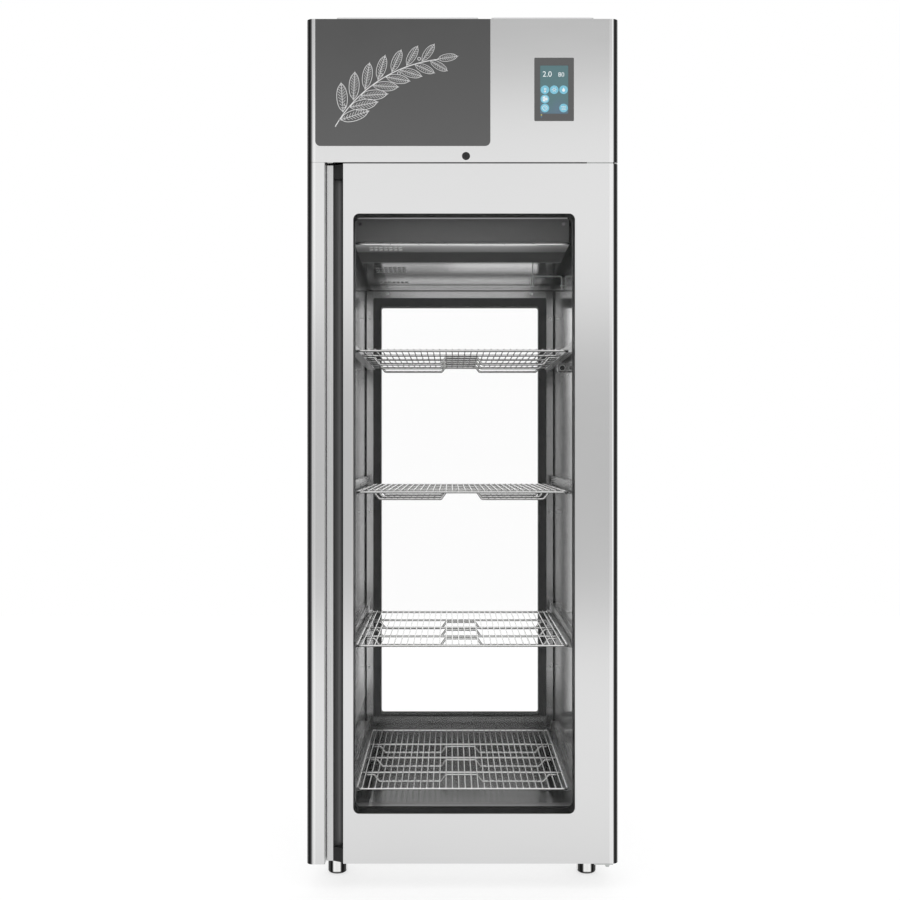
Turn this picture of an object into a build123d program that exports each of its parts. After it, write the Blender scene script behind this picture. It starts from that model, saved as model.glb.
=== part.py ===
from build123d import *
import os
from math import radians, tan

os.makedirs("parts", exist_ok=True)

# A free-standing dry aging cabinet. X runs to the right as seen from the front, Y from the front to the
# back, and Z up. The origin is at the middle of the outline, on the floor. Depths count from the front plane.

# Casing
width = 750.0
depth = 850.0
foot_height = 60.0
body_height = 2035.0
lid_rise = 10.0
edge_radius = 15.0
sheet = 1.2
header_height = 345.0
body_face = 70.0
rear_return = 30.0
seam = 0.5
overrun = 1.0

half = width / 2
inner_half = half - sheet
front = -depth / 2
base_z = foot_height
top_z = foot_height + body_height
deck_z = top_z - header_height
rear_face = depth - sheet

# Fixed stile left of the door
stile_width = 44.4
stile_edge_radius = 3.0

# Chamber
side_wall = 88.5
floor_z = 142.0
roof_thickness = 60.0
rear_wall = 60.0
liner_sheet = 1.0
breaker_thickness = 8.0

chamber_half = half - side_wall
ceiling_z = deck_z - roof_thickness
chamber_depth_end = depth - rear_wall
liner_half = chamber_half + liner_sheet

# Rear window
rear_view_margin = 46.5
rear_view_low = 252.6
rear_view_drop = 196.2
rear_border_side = 23.0
rear_border_low = 4.9
rear_border_high = 25.2
rear_pane_lap = 5.0
rear_pane_thickness = 6.0
rear_frame_margin = 3.9
rear_frame_drop = 151.0
rear_frame_radius = 6.0
rear_gasket_rise = 3.4
glazing_clearance = 0.3
rear_outer_reveal = 4.0
screw_head_radius = 3.2
screw_head_height = 2.0
screw_radius = 1.8
screw_length = 12.0
screw_shares = (0.1188, 0.4974, 0.9704)
screw_top_margin = 22.0

rear_view_half = chamber_half - rear_view_margin
rear_view_high = ceiling_z - rear_view_drop
rear_frame_high = ceiling_z - rear_frame_drop

# Door
door_gap = 1.6
door_sheet = 1.2
door_thickness = 60.0
door_rise = 2.0
door_top_gap = 3.0
grip_side_width = 66.1
hinge_side_width = 104.2
door_foot_height = 120.0
door_head_height = 120.4
window_radius = 14.5
door_pane_thickness = 4.0
spacer_width = 12.0
window_lip = 1.5
gasket_width = 14.0
gasket_clearance = 0.3
gasket_margin = 5.5
gasket_radius = 20.0

door_left = -half + stile_width + door_gap
door_low = base_z + door_rise
door_high = deck_z - door_top_gap
window_left = door_left + grip_side_width
window_right = half - hinge_side_width
window_low = door_low + door_foot_height
window_high = door_high - door_head_height

# Grip
strip_depth = 22.0
strip_width = 16.0
grip_radius = 15.3
grip_centre_depth = 19.0
grip_width = 30.0
grip_wall = 6.7
skin_overhang = 4.1
strip_corner_radius = 3.0
hollow_wall = 2.5
cap_height = 34.0
cap_clearance = 0.15
cap_front_depth = 5.0

grip_left = door_left + strip_width
grip_right = grip_left + grip_width
profile_right = grip_right + grip_wall
lip_left = grip_right - skin_overhang
grip_floor_depth = grip_centre_depth + grip_radius

# Hinges
hinge_margin = 23.0
hinge_depth = 28.0
hinge_pin_radius = 4.0
running_clearance = 0.05
bush_radius = 7.0
bush_length = 22.0
pin_length = 20.0
upper_plate_width = 63.0
plate_side_gap = 12.0
upper_plate_gap = 0.4
upper_plate_front = 6.0
lower_plate_width = 45.0
lower_plate_front = 5.0
lower_plate_back = 130.0
lower_plate_thickness = 2.5
pin_head_radius = 9.0
pin_head_tip_radius = 4.3
pin_head_height = 11.5

hinge_x = half - hinge_margin
upper_plate_right = half - plate_side_gap
upper_plate_left = upper_plate_right - upper_plate_width
lower_plate_left = upper_plate_right - lower_plate_width

# Lock
lock_x = 8.5
lock_rise = 15.0
lock_radius = 9.75
lock_bore_radius = 6.25
lock_length = 24.0
lock_nut_radius = 13.0
lock_nut_thickness = 3.0
lock_set_back = 0.3
key_slot_width = 2.0
key_slot_height = 8.0
key_slot_depth = 4.0
cam_length = 28.0
cam_width = 10.0
cam_thickness = 3.0
cam_gap = 0.4
cam_room = 1.6

lock_z = deck_z + lock_rise

# Graphic plate and display on the header
plate_margin = 20.6
plate_to_display = 105.7
plate_height = 306.0
plate_radius = 12.5
plate_thickness = 0.5
display_margin = 106.8
display_width = 95.3
display_drop = 93.5
display_height = 152.5
display_radius = 2.5
display_body_depth = 24.0
display_flange = 4.0
display_flange_thickness = 2.5
screen_margins = (13.9, 13.5)
screen_low_margin = 17.8
screen_high_margin = 18.5
screen_set_back = 0.5
screen_thickness = 3.0

display_right = half - display_margin
display_left = display_right - display_width
display_high = top_z - display_drop
display_low = display_high - display_height
plate_left = -half + plate_margin
plate_right = display_left - plate_to_display
plate_low = top_z - plate_height

# Top lids
lid_front = 20.0
lid_back_margin = 60.0
lid_left_margin = 70.0
lid_middle = (39.0, 70.0)
lid_right_margin = 56.0
lid_radius = 8.0
lid_hatch_margin = 18.0

lid_back = depth - lid_back_margin
lid_spans = ((-half + lid_left_margin, lid_middle[0]), (lid_middle[1], half - lid_right_margin))

# Legs
foot_radius = 24.0
foot_side_margin = 63.0
foot_front_depth = 130.0
foot_back_margin = 70.0
foot_edge_radius = 8.0
foot_gap = 0.3
stud_radius = 6.0
stud_length = 42.0
socket_radius = 10.0
socket_length = 50.0

foot_x = half - foot_side_margin
foot_back_depth = depth - foot_back_margin

# Racks and their rails
rack_side_gap = 21.5
rack_front = 90.0
rack_back_gap = 50.0
rack_corner_radius = 12.0
rack_shares = (0.75026, 0.52384, 0.27778, 0.04832)
rim_wire_radius = 3.0
grid_wire_radius = 1.5
grid_margin = 17.0
grid_wires = 32
weld_sink = 0.5
cross_wire_radius = 3.0
cross_shares = (0.248, 0.485, 0.722)
brace_radius = 3.0
brace_end_margin = 18.0
brace_shoulder_margin = 37.0
brace_foot_margin = 51.0
brace_foot_inner = 53.5
brace_middle = 41.0
brace_drop = 17.5
brace_bend = 5.0
rail_front = 95.0
rail_back_gap = 40.0
rail_sheet = 1.5
rail_lip_margin = 31.5
rail_web_margin = 10.5
rail_rise = 30.0
rack_clearance = 0.3

rack_half = chamber_half - rack_side_gap
rack_width = 2 * rack_half
rack_depth = chamber_depth_end - rack_back_gap - rack_front
rack_heights = [floor_z + share * (ceiling_z - floor_z) for share in rack_shares]
grid_pitch = (rack_width - 2 * grid_margin) / (grid_wires - 1)
brace_end = rack_half - brace_end_margin
brace_shoulder = rack_half - brace_shoulder_margin
brace_foot_outer = rack_half - brace_foot_margin
rail_back = chamber_depth_end - rail_back_gap
rail_lip_left = chamber_half - rail_lip_margin
rail_web = chamber_half - rail_web_margin

# Evaporator housing and what it holds
plenum_front = 150.0
plenum_side_gap = 16.5
plenum_front_drop = 115.0
plenum_back_drop = 140.0
plenum_back_gap = 2.0
plenum_hem = 7.0
plenum_hem_thickness = 2.0
plenum_screw_margin = 13.0
plenum_screw_drop = 60.0
plenum_screw_radius = 5.0
plenum_screw_proud = 1.5
vent_hole_radius = 3.6
vent_margin = 38.0
vent_pitch = 12.4
vent_columns = 7
vent_row_shares = (0.04545, 0.08934, 0.4906, 0.5384, 0.58621, 0.85266)

plenum_half = chamber_half - plenum_side_gap
plenum_low_front = ceiling_z - plenum_front_drop
plenum_low_back = ceiling_z - plenum_back_drop
plenum_back = chamber_depth_end - plenum_back_gap
plenum_screw_x = plenum_half - plenum_screw_margin
plenum_screw_z = ceiling_z - plenum_screw_drop
vent_first_x = vent_margin - plenum_half
vent_row_depths = [plenum_front + share * (plenum_back - plenum_front) for share in vent_row_shares]

evaporator_width = 400.0
evaporator_back_gap = 170.0
evaporator_depth = 200.0
evaporator_drop = 90.0
evaporator_height = 72.0
fin_thickness = 1.2
fin_gap = 18.8
coil_tube_radius = 5.0
evaporator_tube_rows = 2
evaporator_tube_columns = 4
end_plate_thickness = 2.0

evaporator_fan_drop = 60.0
evaporator_fan_lead = 75.0
evaporator_fan_radius = 48.0
evaporator_hub_radius = 16.0
evaporator_motor_radius = 22.0
evaporator_motor_length = 44.0

evaporator_front = chamber_depth_end - evaporator_back_gap - evaporator_depth
evaporator_low = ceiling_z - evaporator_drop
evaporator_high = evaporator_low + evaporator_height
evaporator_fan_z = ceiling_z - evaporator_fan_drop
evaporator_fan_depth = evaporator_front - evaporator_fan_lead

light_bar_width = 420.0
light_bar_depth = 24.0
light_bar_height = 12.0
light_bar_front = 96.0
light_bar_wall = 2.0

# Sensors in the chamber
sensor_width = 24.9
sensor_under_rack = 10.0
sensor_height = 25.7
sensor_front = 373.0
sensor_depth = 30.0
sensor_top_radius = 9.0
sensor_port_radius = 6.8
sensor_port_depth = 6.0
sensor_port_side = 12.5
sensor_port_rise = 11.9
bracket_behind_coil_face = 52.0
bracket_drop = 149.0
bracket_width = 81.0
bracket_side_gap = 5.5
bracket_low_drop = 187.0
bracket_wire_radius = 1.6
bracket_bend = 6.0
bracket_cross_drop = 175.0
bracket_cross_half = 5.0
probe_radius = 4.0
probe_length = 26.0

sensor_left = chamber_half - sensor_width
sensor_high = rack_heights[0] - sensor_under_rack
sensor_low = sensor_high - sensor_height
sensor_port_x = chamber_half - sensor_port_side
sensor_port_z = sensor_low + sensor_port_rise
bracket_depth = evaporator_front + bracket_behind_coil_face
bracket_z = ceiling_z - bracket_drop
bracket_x = chamber_half - bracket_side_gap
bracket_left = bracket_x - bracket_width
bracket_low = ceiling_z - bracket_low_drop
bracket_cross_z = ceiling_z - bracket_cross_drop

# Machine compartment
compressor_side_margin = 150.0
compressor_lead = 320.0
compressor_radius = 82.0
compressor_height = 176.0
compressor_dome = 38.0
compressor_seam_z_share = 0.55
compressor_seam_width = 4.0
compressor_seam_height = 8.0
mount_height = 18.0
mount_radius = 12.0
mount_pitch_x = 160.0
mount_pitch_y = 110.0
foot_plate_thickness = 3.0
foot_plate_margin = 16.0
stub_radius = 5.0
stub_length = 22.0

condenser_side_margin = 95.0
condenser_width = 320.0
condenser_back_gap = 110.0
condenser_depth = 90.0
condenser_height = 280.0
condenser_lift = 12.0
condenser_tube_rows = 6
condenser_tube_columns = 2
shroud_depth = 36.0
shroud_sheet = 2.0
shroud_clearance = 4.0
condenser_fan_radius = 118.0
condenser_hub_radius = 30.0
condenser_motor_radius = 36.0
condenser_motor_length = 60.0
shaft_radius = 3.0
blade_count = 5
blade_thickness = 2.0
blade_pitch_angle = 32.0
fan_gap = 6.0
arm_width = 10.0
arm_thickness = 4.0

condenser_left = half - condenser_side_margin - condenser_width
condenser_front = depth - condenser_back_gap - condenser_depth
compressor_x = compressor_side_margin - half
compressor_depth = condenser_front - compressor_lead

pipe_radius = 4.0
pipe_bend = 16.0
pipe_hole_clearance = 0.5
drier_radius = 11.0
drier_length = 90.0
drier_neck = 14.0
riser_side_gap = 30.0
riser_lead = 150.0
pipe_run_rise = 270.0
pipe_low_rise = 50.0

riser_x = condenser_left - riser_side_gap
riser_depth = condenser_front - riser_lead
pipe_run_z = deck_z + pipe_run_rise
pipe_low_z = deck_z + pipe_low_rise

control_left = 120.0
control_width = 180.0
control_front = 70.0
control_depth = 120.0
control_height = 74.0
control_wall = 2.5
control_radius = 6.0

inlet_side_margin = 125.0
inlet_rise = 80.0
inlet_width = 27.0
inlet_height = 20.0
inlet_depth = 30.0
inlet_wall = 2.0
inlet_flange = 10.0
inlet_flange_thickness = 3.0
inlet_pin_width = 2.0
inlet_pin_height = 4.0
inlet_pin_length = 15.0
inlet_pin_pitch = 7.0
grille_slots = 9
grille_slot_height = 6.0
grille_slot_pitch = 28.0
grille_slot_width = 290.0
grille_margin = 10.0

inlet_x = inlet_side_margin - half
inlet_z = deck_z + inlet_rise
grille_slot_x = condenser_left + condenser_width / 2 + grille_margin


def back_to(distance):
    """The Y of a depth counted back from the front plane."""
    return front + distance


def block(x_span, depth_span, z_span, mode=Mode.ADD):
    """A box from its low and high faces, in X, in depth and in Z."""
    spans = (x_span, depth_span, z_span)
    x, d, z = [(low + high) / 2 for low, high in spans]
    with Locations((x, back_to(d), z)):
        Box(*[high - low for low, high in spans], mode=mode)


def facing(x_span, depth_span, z_span, radius, mode=Mode.ADD):
    """A plate that faces the front, with its four corners rounded."""
    with BuildSketch(Plane.XZ.offset(-back_to(depth_span[1]))) as outline:
        with Locations(((x_span[0] + x_span[1]) / 2, (z_span[0] + z_span[1]) / 2)):
            RectangleRounded(x_span[1] - x_span[0], z_span[1] - z_span[0], radius)
    extrude(outline.sketch, amount=depth_span[1] - depth_span[0], mode=mode)


def rod(x, z, depth_span, radius, mode=Mode.ADD):
    """A cylinder that points from the front to the back."""
    with BuildSketch(Plane.XZ.offset(-back_to(depth_span[1]))) as outline:
        with Locations((x, z)):
            Circle(radius)
    extrude(outline.sketch, amount=depth_span[1] - depth_span[0], mode=mode)


def post(x, distance, z_span, radius, mode=Mode.ADD):
    """An upright cylinder."""
    with BuildSketch(Plane.XY.offset(z_span[0])) as outline:
        with Locations((x, back_to(distance))):
            Circle(radius)
    extrude(outline.sketch, amount=z_span[1] - z_span[0], mode=mode)


def bar_across(x_span, distance, z, radius, mode=Mode.ADD):
    """A cylinder that points from the left to the right."""
    with BuildSketch(Plane.YZ.offset(x_span[0])) as outline:
        with Locations((back_to(distance), z)):
            Circle(radius)
    extrude(outline.sketch, amount=x_span[1] - x_span[0], mode=mode)


def pipe(points, radius, bend):
    """A round bar along straight runs joined by arcs."""
    with BuildLine() as route:
        FilletPolyline(*points, radius=bend)
    with BuildSketch(Plane(origin=route.line @ 0, z_dir=route.line % 0)) as section:
        Circle(radius)
    sweep(section.sketch, path=route.line)


def grow(span, amount):
    """A span made longer by the same amount at both ends."""
    return (span[0] - amount, span[1] + amount)


def floor_plan(half_width, depth_span, z_span, rear_radius, mode=Mode.ADD):
    """A slab as wide as the casing inside, with rounded rear corners."""
    with BuildSketch(Plane.XY.offset(z_span[0])) as outline:
        with Locations((0, back_to((depth_span[0] + depth_span[1]) / 2))):
            Rectangle(2 * half_width, depth_span[1] - depth_span[0])
        fillet(outline.vertices().group_by(Axis.Y)[-1], rear_radius)
    extrude(outline.sketch, amount=z_span[1] - z_span[0], mode=mode)


inner_radius = edge_radius - sheet
foot_places = [(side * foot_x, distance) for distance in (foot_front_depth, foot_back_depth) for side in (-1, 1)]

# Casing: side panels
for side, name in ((-1, "left"), (1, "right")):
    with BuildPart() as side_panel:
        with BuildSketch(Plane.XY.offset(base_z)):
            with BuildLine() as panel_line:
                FilletPolyline(
                    (side * (half - sheet / 2), back_to(body_face)),
                    (side * (half - sheet / 2), back_to(depth - sheet / 2)),
                    (side * (half - rear_return), back_to(depth - sheet / 2)),
                    radius=edge_radius - sheet / 2,
                )
            trace(line_width=sheet)
        extrude(amount=body_height)
    side_panel.part.label = f"side_panel_{name}"
    export_step(side_panel.part, f"parts/side_panel_{name}.step")

# Casing: base pan with the threaded sockets of the legs
with BuildPart() as base_pan:
    floor_plan(inner_half, (body_face, rear_face), (base_z, base_z + sheet), inner_radius)
    for x, distance in foot_places:
        post(x, distance, (base_z, base_z + socket_length), socket_radius)
    for x, distance in foot_places:
        post(x, distance, (base_z - overrun, base_z + socket_length + overrun),
             stud_radius + running_clearance, Mode.SUBTRACT)
base_pan.part.label = "base_pan"
export_step(base_pan.part, "parts/base_pan.step")

# Chamber liner: a steel sleeve with a back wall that holds the rear window
rear_view = (-rear_view_half, rear_view_half)
rear_view_z = (rear_view_low, rear_view_high)
frame_view = grow(rear_view, rear_border_side)
frame_view_z = (rear_view_low - rear_border_low, rear_view_high + rear_border_high)
rear_pane = grow(frame_view, rear_pane_lap)
rear_pane_z = grow(frame_view_z, rear_pane_lap)
rear_frame_x = chamber_half - rear_frame_margin
frame_face = chamber_depth_end - sheet
screw_side_x = (frame_view[1] + rear_pane_lap + rear_frame_x) / 2
screw_top_z = (frame_view_z[1] + rear_pane_lap + rear_frame_high) / 2
screw_rows = [rear_view_low + share * (rear_view_high - rear_view_low) for share in screw_shares]
rear_screws = [(side * screw_side_x, z) for side in (-1, 1) for z in screw_rows]
rear_screws += [(side * (rear_view_half - screw_top_margin), screw_top_z) for side in (-1, 1)]


def rear_window_hole(depth_span):
    """The hole that the rear glazing unit goes through."""
    facing(
        grow(rear_pane, glazing_clearance),
        depth_span,
        grow(rear_pane_z, glazing_clearance),
        rear_frame_radius,
        Mode.SUBTRACT,
    )


def rear_screw_holes(depth_span):
    """The holes of the screws that hold the rear frame."""
    for x, z in rear_screws:
        rod(x, z, depth_span, screw_radius, Mode.SUBTRACT)


pipe_hole_radius = pipe_radius + pipe_hole_clearance
drier_x = condenser_left - 4 * pipe_bend
riser_places = ((riser_x, riser_depth), (drier_x - 2 * pipe_bend, riser_depth))

with BuildPart() as inner_liner:
    liner_back = chamber_depth_end + liner_sheet
    block((-liner_half, liner_half), (body_face, liner_back),
          (floor_z - liner_sheet, ceiling_z + liner_sheet))
    block((-chamber_half, chamber_half), (body_face - overrun, chamber_depth_end),
          (floor_z, ceiling_z), Mode.SUBTRACT)
    rear_window_hole((frame_face, liner_back + overrun))
    rear_screw_holes((frame_face, liner_back + overrun))
    for x, distance in riser_places:
        post(x, distance, (ceiling_z - overrun, deck_z), pipe_hole_radius, Mode.SUBTRACT)
inner_liner.part.label = "inner_liner"
export_step(inner_liner.part, "parts/inner_liner.step")

# Foam between the casing and the liner
foam_front = body_face + breaker_thickness
with BuildPart() as insulation:
    floor_plan(inner_half, (foam_front, rear_face), (base_z + sheet, deck_z - sheet), inner_radius)
    block((-liner_half, liner_half), (foam_front - overrun, liner_back),
          (floor_z - liner_sheet, ceiling_z + liner_sheet), Mode.SUBTRACT)
    rear_window_hole((chamber_depth_end, depth))
    rear_screw_holes((frame_face, frame_face + screw_length))
    for x, distance in foot_places:
        post(x, distance, (base_z, base_z + socket_length), socket_radius, Mode.SUBTRACT)
    for x, distance in riser_places:
        post(x, distance, (ceiling_z, deck_z), pipe_hole_radius, Mode.SUBTRACT)
insulation.part.label = "insulation"
export_step(insulation.part, "parts/insulation.step")

# Breaker frame that the door's gasket seals against
with BuildPart() as breaker_frame:
    block((-inner_half, inner_half), (body_face, foam_front), (base_z + sheet, deck_z - sheet))
    block((-liner_half, liner_half), (body_face - overrun, foam_front + overrun),
          (floor_z - liner_sheet, ceiling_z + liner_sheet), Mode.SUBTRACT)
breaker_frame.part.label = "breaker_frame"
export_step(breaker_frame.part, "parts/breaker_frame.step")

# Fixed stile left of the door, a sheet box open to the back
stile_right = -half + stile_width
with BuildPart() as front_stile:
    block((-half, stile_right), (0, body_face), (base_z, deck_z - seam))
    stile_edges = front_stile.edges().filter_by(Axis.Z).group_by(Axis.Y)[0].sort_by(Axis.X)
    fillet(stile_edges[0], edge_radius)
    fillet(front_stile.edges().filter_by(Axis.Z).group_by(Axis.Y)[0].sort_by(Axis.X)[-1], stile_edge_radius)
    offset(amount=-sheet, openings=front_stile.faces().sort_by(Axis.Y)[-1])
front_stile.part.label = "front_stile"
export_step(front_stile.part, "parts/front_stile.step")

# Rear window: two panes, black spacer, inner frame, gasket line, screws and outer frame
with BuildPart() as rear_glass:
    facing(rear_pane, (chamber_depth_end, chamber_depth_end + rear_pane_thickness), rear_pane_z,
           rear_frame_radius)
    facing(rear_pane, (rear_face - rear_pane_thickness, rear_face), rear_pane_z, rear_frame_radius)
rear_glass.part.label = "rear_glass"
export_step(rear_glass.part, "parts/rear_glass.step")

with BuildPart() as rear_glass_spacer:
    spacer_span = (chamber_depth_end + rear_pane_thickness, rear_face - rear_pane_thickness)
    facing(rear_pane, spacer_span, rear_pane_z, rear_frame_radius)
    facing(rear_view, grow(spacer_span, overrun), rear_view_z, rear_frame_radius, Mode.SUBTRACT)
rear_glass_spacer.part.label = "rear_glass_spacer"
export_step(rear_glass_spacer.part, "parts/rear_glass_spacer.step")

with BuildPart() as rear_inner_frame:
    block((-rear_frame_x, rear_frame_x), (frame_face, chamber_depth_end), (floor_z, rear_frame_high))
    facing(frame_view, (frame_face - overrun, chamber_depth_end + overrun), frame_view_z,
           rear_frame_radius, Mode.SUBTRACT)
    rear_screw_holes((frame_face - overrun, chamber_depth_end + overrun))
rear_inner_frame.part.label = "rear_inner_frame"
export_step(rear_inner_frame.part, "parts/rear_inner_frame.step")

with BuildPart() as rear_window_gasket:
    block((-chamber_half, chamber_half), (frame_face, chamber_depth_end),
          (floor_z, rear_frame_high + rear_gasket_rise))
    block((-rear_frame_x, rear_frame_x), (frame_face - overrun, chamber_depth_end + overrun),
          (floor_z - overrun, rear_frame_high), Mode.SUBTRACT)
rear_window_gasket.part.label = "rear_window_gasket"
export_step(rear_window_gasket.part, "parts/rear_window_gasket.step")

with BuildPart() as rear_frame_screws:
    for x, z in rear_screws:
        rod(x, z, (frame_face - screw_head_height, frame_face), screw_head_radius)
        rod(x, z, (frame_face, frame_face + screw_length), screw_radius)
    fillet(rear_frame_screws.edges().filter_by(GeomType.CIRCLE).group_by(Axis.Y)[0], screw_head_height / 2)
rear_frame_screws.part.label = "rear_frame_screws"
export_step(rear_frame_screws.part, "parts/rear_frame_screws.step")

rear_panel_half = half - rear_return
with BuildPart() as rear_outer_frame:
    block((-rear_panel_half, rear_panel_half), (rear_face, depth), (base_z, deck_z))
    facing(grow(rear_view, rear_outer_reveal), (rear_face - overrun, depth + overrun),
           grow(rear_view_z, rear_outer_reveal), rear_frame_radius, Mode.SUBTRACT)
rear_outer_frame.part.label = "rear_outer_frame"
export_step(rear_outer_frame.part, "parts/rear_outer_frame.step")

# Header over the door: a folded sheet with a bottom flange, and holes for what it carries
display_x = (display_left, display_right)
display_z = (display_low, display_high)
screen_x = (display_left + screen_margins[0], display_right - screen_margins[1])
screen_z = (display_low + screen_low_margin, display_high - screen_high_margin)
plate_x = (plate_left, plate_right)
plate_z = (plate_low, top_z)
lock_hole_radius = lock_radius + running_clearance
cam_depth_span = (lock_length + cam_gap, lock_length + cam_gap + cam_thickness)
cam_sweep_x = (lock_x - cam_width / 2 - cam_room, lock_x + cam_length)

with BuildPart() as header_panel:
    with BuildSketch(Plane.XY.offset(deck_z)):
        with BuildLine():
            FilletPolyline(
                (-half + sheet / 2, back_to(body_face)),
                (-half + sheet / 2, back_to(sheet / 2)),
                (half - sheet / 2, back_to(sheet / 2)),
                (half - sheet / 2, back_to(body_face)),
                radius=edge_radius - sheet / 2,
            )
        trace(line_width=sheet)
    extrude(amount=header_height)
    with BuildSketch(Plane.XY.offset(deck_z)) as flange:
        with Locations((0, back_to(body_face / 2))):
            Rectangle(width, body_face)
        fillet(flange.vertices().group_by(Axis.Y)[0], edge_radius)
    extrude(amount=sheet)
    facing(plate_x, (-overrun, plate_thickness), (plate_low, top_z + plate_radius + overrun),
           plate_radius, Mode.SUBTRACT)
    facing(grow(display_x, running_clearance), (-overrun, sheet + overrun),
           grow(display_z, running_clearance), display_radius, Mode.SUBTRACT)
    rod(lock_x, lock_z, (-overrun, sheet + overrun), lock_hole_radius, Mode.SUBTRACT)
    block(cam_sweep_x, grow(cam_depth_span, cam_gap), (deck_z - overrun, deck_z + sheet + overrun),
          Mode.SUBTRACT)
header_panel.part.label = "header_panel"
export_step(header_panel.part, "parts/header_panel.step")

with BuildPart() as graphic_plate:
    facing(plate_x, (0, plate_thickness), (plate_low, top_z + plate_radius + overrun), plate_radius)
    split(bisect_by=Plane.XY.offset(top_z), keep=Keep.BOTTOM)
graphic_plate.part.label = "graphic_plate"
export_step(graphic_plate.part, "parts/graphic_plate.step")

with BuildPart() as display_bezel:
    facing(display_x, (0, display_body_depth), display_z, display_radius)
    facing(grow(display_x, display_flange), (sheet, sheet + display_flange_thickness),
           grow(display_z, display_flange), display_radius)
    facing(screen_x, (-overrun, screen_set_back + screen_thickness), screen_z, display_radius,
           Mode.SUBTRACT)
display_bezel.part.label = "display_bezel"
export_step(display_bezel.part, "parts/display_bezel.step")

with BuildPart() as display_screen:
    facing(screen_x, (screen_set_back, screen_set_back + screen_thickness), screen_z, display_radius)
display_screen.part.label = "display_screen"
export_step(display_screen.part, "parts/display_screen.step")

# Key lock: housing in the header, and the barrel that turns the cam down into the door
with BuildPart() as lock_housing:
    rod(lock_x, lock_z, (0, lock_length), lock_radius)
    rod(lock_x, lock_z, (sheet, sheet + lock_nut_thickness), lock_nut_radius)
    rod(lock_x, lock_z, (-overrun, lock_length + overrun), lock_bore_radius, Mode.SUBTRACT)
lock_housing.part.label = "lock_housing"
export_step(lock_housing.part, "parts/lock_housing.step")

barrel_radius = lock_bore_radius - running_clearance
with BuildPart() as lock_barrel:
    rod(lock_x, lock_z, (lock_set_back, cam_depth_span[0]), barrel_radius)
    rod(lock_x, lock_z, (cam_depth_span[0], cam_depth_span[1] + cam_thickness), barrel_radius / 2)
    block((lock_x - key_slot_width / 2, lock_x + key_slot_width / 2), (-overrun, key_slot_depth),
          (lock_z - key_slot_height / 2, lock_z + key_slot_height / 2), Mode.SUBTRACT)
lock_barrel.part.label = "lock_barrel"
export_step(lock_barrel.part, "parts/lock_barrel.step")

with BuildPart() as lock_cam:
    with BuildSketch(Plane.XZ.offset(-back_to(cam_depth_span[1]))) as cam_outline:
        with Locations((lock_x + (cam_length - cam_width / 2) / 2, lock_z)):
            SlotOverall(cam_length + cam_width / 2, cam_width)
        with Locations((lock_x, lock_z)):
            Circle(barrel_radius / 2, mode=Mode.SUBTRACT)
    extrude(amount=cam_thickness)
lock_cam.part.label = "lock_cam"
export_step(lock_cam.part, "parts/lock_cam.step")

# Deck under the machine compartment
with BuildPart() as compartment_deck:
    floor_plan(inner_half, (body_face, rear_face), (deck_z - sheet, deck_z), inner_radius)
    for x, distance in riser_places:
        post(x, distance, (deck_z - sheet - overrun, deck_z + overrun), pipe_hole_radius, Mode.SUBTRACT)
compartment_deck.part.label = "compartment_deck"
export_step(compartment_deck.part, "parts/compartment_deck.step")

# Rear grille of the machine compartment
inlet_x_span = (inlet_x - inlet_width / 2, inlet_x + inlet_width / 2)
inlet_z_span = (inlet_z - inlet_height / 2, inlet_z + inlet_height / 2)
with BuildPart() as rear_grille:
    block((-rear_panel_half, rear_panel_half), (rear_face, depth), (deck_z, top_z))
    grille_low = deck_z + condenser_lift + grille_slot_pitch / 2
    for row in range(grille_slots):
        slot_z = grille_low + row * grille_slot_pitch
        facing((grille_slot_x - grille_slot_width / 2, grille_slot_x + grille_slot_width / 2),
               (rear_face - overrun, depth + overrun),
               (slot_z, slot_z + grille_slot_height), grille_slot_height / 2 - running_clearance,
               Mode.SUBTRACT)
    block(inlet_x_span, (rear_face - overrun, depth + overrun), inlet_z_span, Mode.SUBTRACT)
rear_grille.part.label = "rear_grille"
export_step(rear_grille.part, "parts/rear_grille.step")

# Power inlet: a sunk socket with three blades
with BuildPart() as power_inlet:
    inlet_front = rear_face - inlet_depth
    block(grow(inlet_x_span, inlet_wall), (inlet_front, rear_face), grow(inlet_z_span, inlet_wall))
    block(grow(inlet_x_span, inlet_flange), (rear_face - inlet_flange_thickness, rear_face),
          grow(inlet_z_span, inlet_wall))
    block(inlet_x_span, (inlet_front + inlet_wall, rear_face + overrun), inlet_z_span, Mode.SUBTRACT)
    for step in (-1, 0, 1):
        pin_x = inlet_x + step * inlet_pin_pitch
        block((pin_x - inlet_pin_width / 2, pin_x + inlet_pin_width / 2),
              (inlet_front, inlet_front + inlet_wall + inlet_pin_length),
              (inlet_z - inlet_pin_height / 2, inlet_z + inlet_pin_height / 2))
power_inlet.part.label = "power_inlet"
export_step(power_inlet.part, "parts/power_inlet.step")

# Top panel and the two raised service lids over its hatches
with BuildPart() as top_panel:
    block((-inner_half, inner_half), (sheet, rear_face), (top_z - sheet, top_z))
    fillet(top_panel.edges().filter_by(Axis.Z), inner_radius)
    for span in lid_spans:
        block(grow(span, -lid_hatch_margin),
              (lid_front + lid_hatch_margin, lid_back - lid_hatch_margin),
              (top_z - sheet - overrun, top_z + overrun), Mode.SUBTRACT)
top_panel.part.label = "top_panel"
export_step(top_panel.part, "parts/top_panel.step")

with BuildPart() as top_lids:
    for span in lid_spans:
        with BuildSketch(Plane.XY.offset(top_z)) as lid_outline:
            with Locations(((span[0] + span[1]) / 2, back_to((lid_front + lid_back) / 2))):
                RectangleRounded(span[1] - span[0], lid_back - lid_front, lid_radius)
        extrude(amount=lid_rise)
    offset(amount=-sheet, openings=top_lids.faces().filter_by(Axis.Z).group_by(Axis.Z)[0])
top_lids.part.label = "top_lids"
export_step(top_lids.part, "parts/top_lids.step")

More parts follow.
